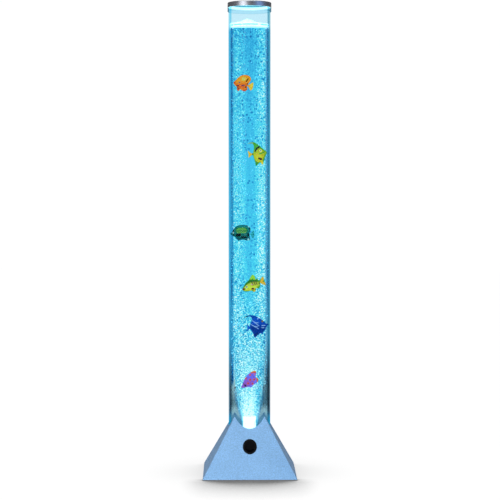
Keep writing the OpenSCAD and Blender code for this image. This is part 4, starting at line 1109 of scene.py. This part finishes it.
class LAMP_OT_base(bpy.types.Operator):
    """Dresses the pyramid base: the shell with its long edges rounded, and its window"""

    bl_idname = "lamp.base"
    bl_label = "Base"

    def execute(self, context):
        sizes, colours = context.scene.lamp_sizes, context.scene.lamp_colours
        shell = frame["nodes"]["base_shell"]
        copy = bpy.data.objects.new("base_cover", shell.data.copy())
        context.scene.collection.objects.link(copy)
        take(copy)
        bpy.ops.object.mode_set(mode="EDIT")
        bpy.ops.mesh.select_all(action="SELECT")
        bpy.ops.mesh.remove_doubles(threshold=0.01 * MM)
        bpy.ops.mesh.dissolve_limited(angle_limit=math.radians(0.5))
        bpy.ops.object.mode_set(mode="OBJECT")
        low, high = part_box("base_shell")
        lean = math.tan(math.radians(FACE_LEAN))

        def on_corner(v):
            reach = high.x - (v.co.z - low.z) * lean
            return abs(abs(v.co.x) - reach) < 0.2 * MM and abs(abs(v.co.y) - reach) < 0.2 * MM

        def long_edge(e):
            a, b = (copy.data.vertices[i] for i in e.vertices)
            return on_corner(a) and on_corner(b)

        select_parts(copy, long_edge, "EDGE")
        bpy.ops.mesh.bevel(offset=sizes.base_round, segments=3, affect="EDGES", clamp_overlap=True)
        bpy.ops.object.mode_set(mode="OBJECT")
        shade_by_angle(copy, 24)
        finish_piece(copy, "base_cover", "lamp", base_paint(colours.base), ["base_shell"])
        dress("window_bezel", bezel_plastic())
        dress("window_lens", smoked_window(colours.window))
        return {"FINISHED"}


class LAMP_OT_inner_parts(bpy.types.Operator):
    """Gives every inner part of the frame the finish of its real material"""

    bl_idname = "lamp.inner_parts"
    bl_label = "Inner Parts"

    def execute(self, context):
        made = {name: plain_finish(name) for name in PLAIN_FINISHES}
        for name, (*_, nodes) in PLAIN_FINISHES.items():
            for node in nodes:
                dress(node, made[name])
        green = board_laminate("green glass-epoxy laminate", "#1E5B34", "#3F7A46")
        dress("control_board", green)
        dress("sensor_board", green)
        dress("led_board", board_laminate("white glass-epoxy laminate", "#E8EAE6", "#D2D6CE"))
        dress("pump_coil", wound_copper())
        dress("leds", lit_moulding("phosphor lamp chips", "#F4F7E8", "#9FF3FF", 2.0, 0.6))
        dress("bubbler_cup", lit_moulding("lit white polypropylene", "#F4FFFF", "#F6FFFF", 1.5, 6))
        self.bellows(made["moulded black rubber"])
        return {"FINISHED"}

    def bellows(self, rubber):
        """The pump's rubber bellows: its foot sits on the valve block, its head meets the
        arm, and its wall narrows by 2 mm in three steps between them"""
        low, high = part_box("pump_diaphragm")
        x, y, tall = (low.x + high.x) / 2, (low.y + high.y) / 2, high.z - low.z
        radius = (high.x - low.x) / 2
        narrower = 2 * MM / (radius - 1 * MM)
        clear_selection()
        bpy.ops.mesh.primitive_cylinder_add(
            vertices=64, radius=radius, depth=tall / 3, location=(x, y, low.z + tall / 6)
        )
        piece = bpy.context.object
        settle(piece)
        select_parts(piece, lambda f: f.normal.z > 0.9)
        bpy.ops.mesh.inset(thickness=1 * MM)
        for step in range(1, 4):
            bpy.ops.mesh.extrude_region_move(TRANSFORM_OT_translate={"value": (0, 0, tall / 9)})
            share, last = 1 - narrower * step / 3, 1 - narrower * (step - 1) / 3
            bpy.ops.transform.resize(value=(share / last, share / last, 1), center_override=(x, y, low.z))
        bpy.ops.mesh.inset(thickness=1 * MM)
        bpy.ops.mesh.extrude_region_move(TRANSFORM_OT_translate={"value": (0, 0, tall / 3)})
        bpy.ops.object.mode_set(mode="OBJECT")
        apply_modifier(piece, "BEVEL", width=0.3 * MM, segments=2)
        outward_normals(piece)
        shade_by_angle(piece, 35)
        finish_piece(piece, "pump_bellows", None, rubber, ["pump_diaphragm"])
        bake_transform(piece)


class LAMP_OT_tube(bpy.types.Operator):
    """Gives the tube, its floor, the cap and the skirt their clear and plated finishes"""

    bl_idname = "lamp.tube"
    bl_label = "Tube and Cap"

    def execute(self, context):
        colours = context.scene.lamp_colours
        wall = clear_acrylic("extruded clear acrylic", colours.acrylic, None, 0.50, 0.68, 0.6)
        dress("tube", wall)
        dress("tube_floor", wall)
        skirt = clear_acrylic("moulded clear acrylic", linear("#F0FCFC"), (0.10, 0.30, 0.40), 0.62, 0.95, 0.0)
        dress("cap_skirt", skirt)
        dress("cap_cover", plated_cap(colours.plating))
        return {"FINISHED"}


class LAMP_OT_water(bpy.types.Operator):
    """Fills the tube with water, with the thick stream of fine bubbles that rises in it"""

    bl_idname = "lamp.water"
    bl_label = "Water"

    def execute(self, context):
        sizes, colours = context.scene.lamp_sizes, context.scene.lamp_colours
        level = sizes.water_level
        water = upright(BORE - 0.2 * MM, FLOOR_TOP + 0.1 * MM, level + 2 * MM, sides=128)
        self.meniscus(water)
        finish_piece(water, "water", "lamp", water_skin(colours.water_edge))
        self.stream(sizes, colours, level)
        self.edge(sizes, level)
        return {"FINISHED"}

    def meniscus(self, water):
        """The water's top creeps up the wall by a millimetre"""
        select_parts(water, lambda f: f.normal.z > 0.9)
        bpy.ops.mesh.inset(thickness=2.5 * MM)
        bpy.ops.transform.translate(value=(0, 0, -1 * MM))
        bpy.ops.object.mode_set(mode="OBJECT")
        shade_by_angle(water, 30)

    def stream(self, sizes, colours, level):
        """The thick stream, uneven at its side and flat before the fish"""
        runs = fish_runs()
        stream = upright(sizes.stream_radius, CUP_TOP, level, sides=112, cuts=210)
        points = points_of(stream)
        for p in points:
            z = p[2]
            width = stream_width(z, sizes.stream_radius) / sizes.stream_radius
            swell = noise.noise(Vector((p[0] * 70, p[1] * 70, z * 38)))
            p[:2] *= width * (1 - 0.028 * abs(swell))
            front = stream_front(z, runs) + 1.2 * MM * abs(noise.noise(Vector((p[0] * 90, 3.1, z * 60))))
            # Its top, under the foam, comes further forward than the fish let it lower down
            p[1] = max(p[1], front if z < level - 1 * MM else -13.5 * MM)
        move_points(stream, points)
        shade_by_angle(stream, 50)
        material = stream_light(colours.stream, level)
        finish_piece(stream, "bubble_stream", "lamp", material)

    def edge(self, sizes, level):
        """The clear edge of the stream, behind the fish as the stream is"""
        runs = fish_runs()
        edge = upright(sizes.edge_radius, CUP_TOP + 69 * MM, level, sides=96, cuts=120)
        points = points_of(edge)
        for p in points:
            p[1] = max(p[1], stream_front(p[2], runs) - 0.4 * MM)
        move_points(edge, points)
        shade_by_angle(edge, 50)
        finish_piece(edge, "stream_edge", "lamp", stream_edge(sizes.edge_radius))


class LAMP_OT_haze(bpy.types.Operator):
    """Lights the water round the cup and the foot of the stream, where bubbles are sparse"""

    bl_idname = "lamp.haze"
    bl_label = "Lit Haze"

    def execute(self, context):
        runs = fish_runs()
        # In mm: height over the floor, and radius there
        keys = [(100, 20), (118, 21.5), (136, 23.5), (149, 27), (163, 31.5), (180, 35), (203, 37)]
        haze = upright(1, keys[0][0] * MM, keys[-1][0] * MM, sides=96, cuts=40)
        points = points_of(haze)
        for p in points:
            wide = float(np.interp(p[2] / MM, *zip(*keys))) * MM
            wide *= 1 + 0.05 * noise.noise(Vector((p[0] * 3, p[1] * 3, p[2] * 90)))
            p[:2] *= wide
            p[1] = max(p[1], stream_front(p[2], runs) - 0.8 * MM)
        move_points(haze, points)
        shade_by_angle(haze, 50)
        finish_piece(haze, "lit_haze", "lamp", haze_light())
        return {"FINISHED"}


class LAMP_OT_foam(bpy.types.Operator):
    """Lays the foam on the water, with its hump and its larger bubbles"""

    bl_idname = "lamp.foam"
    bl_label = "Foam"

    def execute(self, context):
        sizes, colours = context.scene.lamp_sizes, context.scene.lamp_colours
        level = sizes.water_level + 0.3 * MM
        clear_selection()
        bpy.ops.mesh.primitive_circle_add(
            vertices=96, radius=BORE - 0.3 * MM, fill_type="NGON", location=(0, 0, level)
        )
        foam = context.object
        settle(foam)
        bpy.ops.object.mode_set(mode="EDIT")
        bpy.ops.mesh.select_all(action="SELECT")
        bpy.ops.mesh.extrude_region_move(TRANSFORM_OT_translate={"value": (0, 0, sizes.foam_height)})
        for _ in range(22):
            bpy.ops.mesh.inset(thickness=2 * MM)
        bpy.ops.object.mode_set(mode="OBJECT")
        points = points_of(foam)
        for p in points:
            if p[2] > level + 1 * MM:
                hump = math.exp(-(((p[0] + 4 * MM) / (19 * MM)) ** 2) - ((p[1] + 9 * MM) / (22 * MM)) ** 2)
                lumps = noise.noise(Vector((p[0] * 160, p[1] * 160, 0.4)))
                slope = -0.02 * p[0]
                p[2] += sizes.foam_hump * hump + 1.3 * MM * lumps + slope
        move_points(foam, points)
        outward_normals(foam)
        shade_by_angle(foam, 50)
        finish_piece(foam, "foam", "lamp", foam_light(colours.foam, level + 4.8 * MM))
        return {"FINISHED"}


class LAMP_OT_bubbles(bpy.types.Operator):
    """Scatters loose bubbles through the clear water, beside and before the stream"""

    bl_idname = "lamp.bubbles"
    bl_label = "Bubbles"

    def execute(self, context):
        sizes = context.scene.lamp_sizes
        rng, runs = random.Random(SEED), fish_runs()
        clear_selection()
        bpy.ops.mesh.primitive_uv_sphere_add(segments=8, ring_count=6, radius=1)
        bead = context.object
        shape = points_of(bead)
        faces = [tuple(f.vertices) for f in bead.data.polygons]
        bpy.data.objects.remove(bead)
        # The fish at rest, each in the shape of a run
        boxes = [(run[0], *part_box(run[0])) for run in runs]
        resting = [(name, b.y, a.x, b.x, a.z, b.z) for name, a, b in boxes]
        lowest, highest = CUP_TOP + 2 * MM, sizes.water_level - 2 * MM
        spots = []
        while len(spots) < sizes.bubble_count:
            angle, out = rng.uniform(0, 2 * math.pi), (BORE - 1.6 * MM) * math.sqrt(rng.random())
            x, y, z = out * math.cos(angle), out * math.sin(angle), rng.uniform(lowest, highest)
            radius = sizes.bubble_radius * rng.choice((0.6, 0.8, 1.0, 1.0, 1.25, 1.6))
            wide = stream_width(z, sizes.stream_radius)
            # Low down the bubbles keep to the plume
            if out > wide + 6 * MM and z < PLUME_TOP:
                continue
            # None is drawn within the stream
            if out < wide - 0.5 * MM and y > stream_front(z, runs) - 0.3 * MM:
                continue
            # Few stand before a fish's travel, none in it, and none before a fish at rest
            if any(self.beside(x, z, run, 4 * MM) and y < run[1] + 9 * MM for run in runs) and (
                rng.random() < 0.8
                or any(self.beside(x, z, run, 2 * MM) and abs(y - run[1]) < 8 * MM for run in runs)
            ):
                continue
            if any(self.beside(x, z, rest, 1 * MM) and y < rest[1] for rest in resting):
                continue
            spots.append((x, y, z, radius))
        material = bubble_skin()
        share = (len(spots) + 1) // 2
        for k in range(2):
            part = spots[k * share : (k + 1) * share]
            name = f"bubbles_{k + 1}"
            mesh = bpy.data.meshes.new(name)
            where = np.array([s[:3] for s in part])
            grown = np.array([s[3] for s in part])
            points = (shape[None] * grown[:, None, None] + where[:, None]).reshape(-1, 3)
            loops = [tuple(v + n * len(shape) for v in f) for n in range(len(part)) for f in faces]
            mesh.from_pydata(points.tolist(), [], loops)
            obj = bpy.data.objects.new(name, mesh)
            context.scene.collection.objects.link(obj)
            take(obj)
            bpy.ops.object.shade_smooth()
            finish_piece(obj, name, "lamp", material)
        return {"FINISHED"}

    def beside(self, x, z, run, gap):
        """Whether a place seen from the front is on a run, or within a gap of it"""
        _, _, left, right, low, high = run
        return left - gap < x < right + gap and low - gap < z < high + gap


class LAMP_OT_fish(bpy.types.Operator):
    """Makes the six painted fish, each from its outline, its crowned body and its marks"""

    bl_idname = "lamp.fish"
    bl_label = "Fish"

    def execute(self, context):
        step = context.scene.lamp_sizes.fish_grid
        for kind, tale in FISH.items():
            self.one(kind, tale, step)
        return {"FINISHED"}

    def one(self, kind, tale, step):
        """One fish, in the place of its solid"""
        node = "fish_" + kind
        low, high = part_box(node)
        outline = smooth_curve(tale["fins"]) * MM
        body = smooth_curve(tale["body"], 2) * MM
        span = (outline.min(0) + outline.max(0)) / 2
        centre = np.array([
            (low.x + high.x) / 2 - span[0], (low.y + high.y) / 2, (low.z + high.z) / 2 - span[1],
        ])
        width, tall = outline.max(0) - outline.min(0) + 4 * MM
        # The outline as a thick plate, which cuts the fish out of a fine grid
        clear_selection()
        bpy.ops.mesh.primitive_circle_add(vertices=len(outline), radius=1, fill_type="NGON")
        plate = bpy.context.object
        move_points(plate, [(x, 0, z) for x, z in outline])
        apply_modifier(plate, "SOLIDIFY", thickness=4 * MM, offset=0)
        outward_normals(plate)
        clear_selection()
        bpy.ops.mesh.primitive_grid_add(
            x_subdivisions=int(width / step), y_subdivisions=int(tall / step), size=1
        )
        fish = bpy.context.object
        flat = points_of(fish)
        across, up = flat[:, 0] * width + span[0], flat[:, 1] * tall + span[1]
        move_points(fish, np.column_stack([across, np.zeros(len(up)), up]))
        apply_modifier(fish, "SOLIDIFY", thickness=1 * MM, offset=0)
        outward_normals(fish)
        apply_modifier(fish, "BOOLEAN", object=plate, operation="INTERSECT", solver="EXACT")
        bpy.data.objects.remove(plate)
        # Thickness: thin fins with rays, the crowned body, and the eye that stands out
        points = points_of(fish)
        side = np.sign(points[:, 1])
        flat = points[:, [0, 2]]
        edge = self.distance(flat, np.vstack([outline, outline[:1]]), 0)
        crown, inside = self.crown(flat, body)
        thick = FIN_THICKNESS + 0.45 * MM * smoothstep(0, 1.6 * MM, edge)
        middle = body.mean(0)
        turn = np.arctan2(flat[:, 1] - middle[1], flat[:, 0] - middle[0])
        rays = 0.5 + 0.5 * np.cos(turn * RAY_COUNT)
        thick += (1 - inside) * 0.14 * MM * rays * smoothstep(0.4 * MM, 1.5 * MM, edge)
        thick = np.maximum(thick, crown)
        ex, ez, er, _ = tale["eye"]
        from_eye = np.hypot(flat[:, 0] - ex * MM, flat[:, 1] - ez * MM) / (er * MM)
        thick += 0.8 * MM * np.sqrt(np.clip(1 - from_eye**2, 0, 1))
        points[:, 1] = side * thick
        move_points(fish, points + centre)
        take(fish)
        bpy.ops.object.shade_smooth()
        self.paint(fish, tale, flat, inside, rays)
        finish_piece(fish, node + "_painted", node, fish_paint(kind + " sprayed PVC"), [node])

    def distance(self, points, run, radius):
        """Distance from points to a run of lines, less a radius that may differ along it"""
        best = np.full(len(points), 1e9)
        radii = np.broadcast_to(radius, len(run))
        for a, b, ra, rb in zip(run, run[1:], radii, radii[1:]):
            line = b - a
            t = np.clip((points - a) @ line / max(line @ line, 1e-12), 0, 1)
            gap = np.linalg.norm(points - (a + t[:, None] * line), axis=1) - (ra + (rb - ra) * t)
            best = np.minimum(best, gap)
        if len(run) == 1:
            best = np.linalg.norm(points - run[0], axis=1) - radii[0]
        return best

    def crown(self, flat, body):
        """Height of the crowned body, and 1 inside its outline, as the solid's rings have it"""
        middle = body.mean(0)
        at = np.arctan2(body[:, 1] - middle[1], body[:, 0] - middle[0])
        reach = np.hypot(*(body - middle).T)
        order = np.argsort(at)
        turn = np.arctan2(flat[:, 1] - middle[1], flat[:, 0] - middle[0])
        edge = np.interp(turn, at[order], reach[order], period=2 * math.pi)
        share = np.hypot(*(flat - middle).T) / edge
        height = CROWN_HEIGHT * np.sqrt(np.clip(1 - share**2, 0, 1))
        return height, 1 - smoothstep(0.92, 1.04, share)

    def paint(self, fish, tale, flat, inside, rays):
        """Paint on the points: fins, belly to back, then the marks in order, and the eye"""
        fins, back, belly = (np.array(linear(tone)) for tone in tale["tones"])
        up = smoothstep(-8 * MM, 8 * MM, flat[:, 1])[:, None]
        tones = fins * (0.86 + 0.26 * rays[:, None])
        tones = tones + (belly + (back - belly) * up - tones) * inside[:, None]
        for tone, soft, *strokes in tale["marks"]:
            for stroke in strokes:
                run = np.array(stroke, float) * MM
                gap = self.distance(flat, run[:, :2], run[:, 2])
                share = 1 - smoothstep(-soft * MM / 2, soft * MM / 2, gap)
                tones += (np.array(linear(tone)) * (0.93 + 0.12 * rays[:, None]) - tones) * share[:, None]
        ex, ez, er, iris = tale["eye"]
        for tone, radius in ((iris, er), ("#0B0C0E", er * 0.5)):
            gap = np.hypot(flat[:, 0] - ex * MM, flat[:, 1] - ez * MM) - radius * MM
            share = 1 - smoothstep(-0.3 * MM, 0.3 * MM, gap)
            tones += (np.array(linear(tone)) - tones) * share[:, None]
        held = fish.data.attributes.new("paint", "FLOAT_COLOR", "POINT")
        held.data.foreach_set("color", np.column_stack([tones, np.ones(len(tones))]).ravel())


OPERATORS = [
    LAMP_OT_stage,
    LAMP_OT_inner_parts,
    LAMP_OT_base,
    LAMP_OT_tube,
    LAMP_OT_water,
    LAMP_OT_haze,
    LAMP_OT_foam,
    LAMP_OT_bubbles,
    LAMP_OT_fish,
]


class LAMP_PT_panel(bpy.types.Panel):
    """Sizes, colours and one button for each operator"""

    bl_idname = "LAMP_PT_panel"
    bl_label = "Bubble Tube Lamp"
    bl_space_type = "VIEW_3D"
    bl_region_type = "UI"
    bl_category = "Lamp"

    def draw(self, context):
        for group in (context.scene.lamp_sizes, context.scene.lamp_colours):
            box = self.layout.box()
            for name in group.bl_rna.properties.keys():
                if name not in ("rna_type", "name"):
                    box.prop(group, name)
        for operator in OPERATORS:
            self.layout.operator(operator.bl_idname)


CLASSES = [LampSizes, LampColours, *OPERATORS, LAMP_PT_panel]


def register():
    for cls in CLASSES:
        bpy.utils.register_class(cls)
    bpy.types.Scene.lamp_sizes = bpy.props.PointerProperty(type=LampSizes)
    bpy.types.Scene.lamp_colours = bpy.props.PointerProperty(type=LampColours)


def unregister():
    del bpy.types.Scene.lamp_colours
    del bpy.types.Scene.lamp_sizes
    for cls in reversed(CLASSES):
        bpy.utils.unregister_class(cls)


def main():
    register()
    bpy.ops.lamp.stage()
    bpy.ops.lamp.inner_parts()
    bpy.ops.lamp.base()
    bpy.ops.lamp.tube()
    bpy.ops.lamp.water()
    bpy.ops.lamp.haze()
    bpy.ops.lamp.foam()
    bpy.ops.lamp.bubbles()
    bpy.ops.lamp.fish()
    clear_selection()


if __name__ == "__main__":
    main()
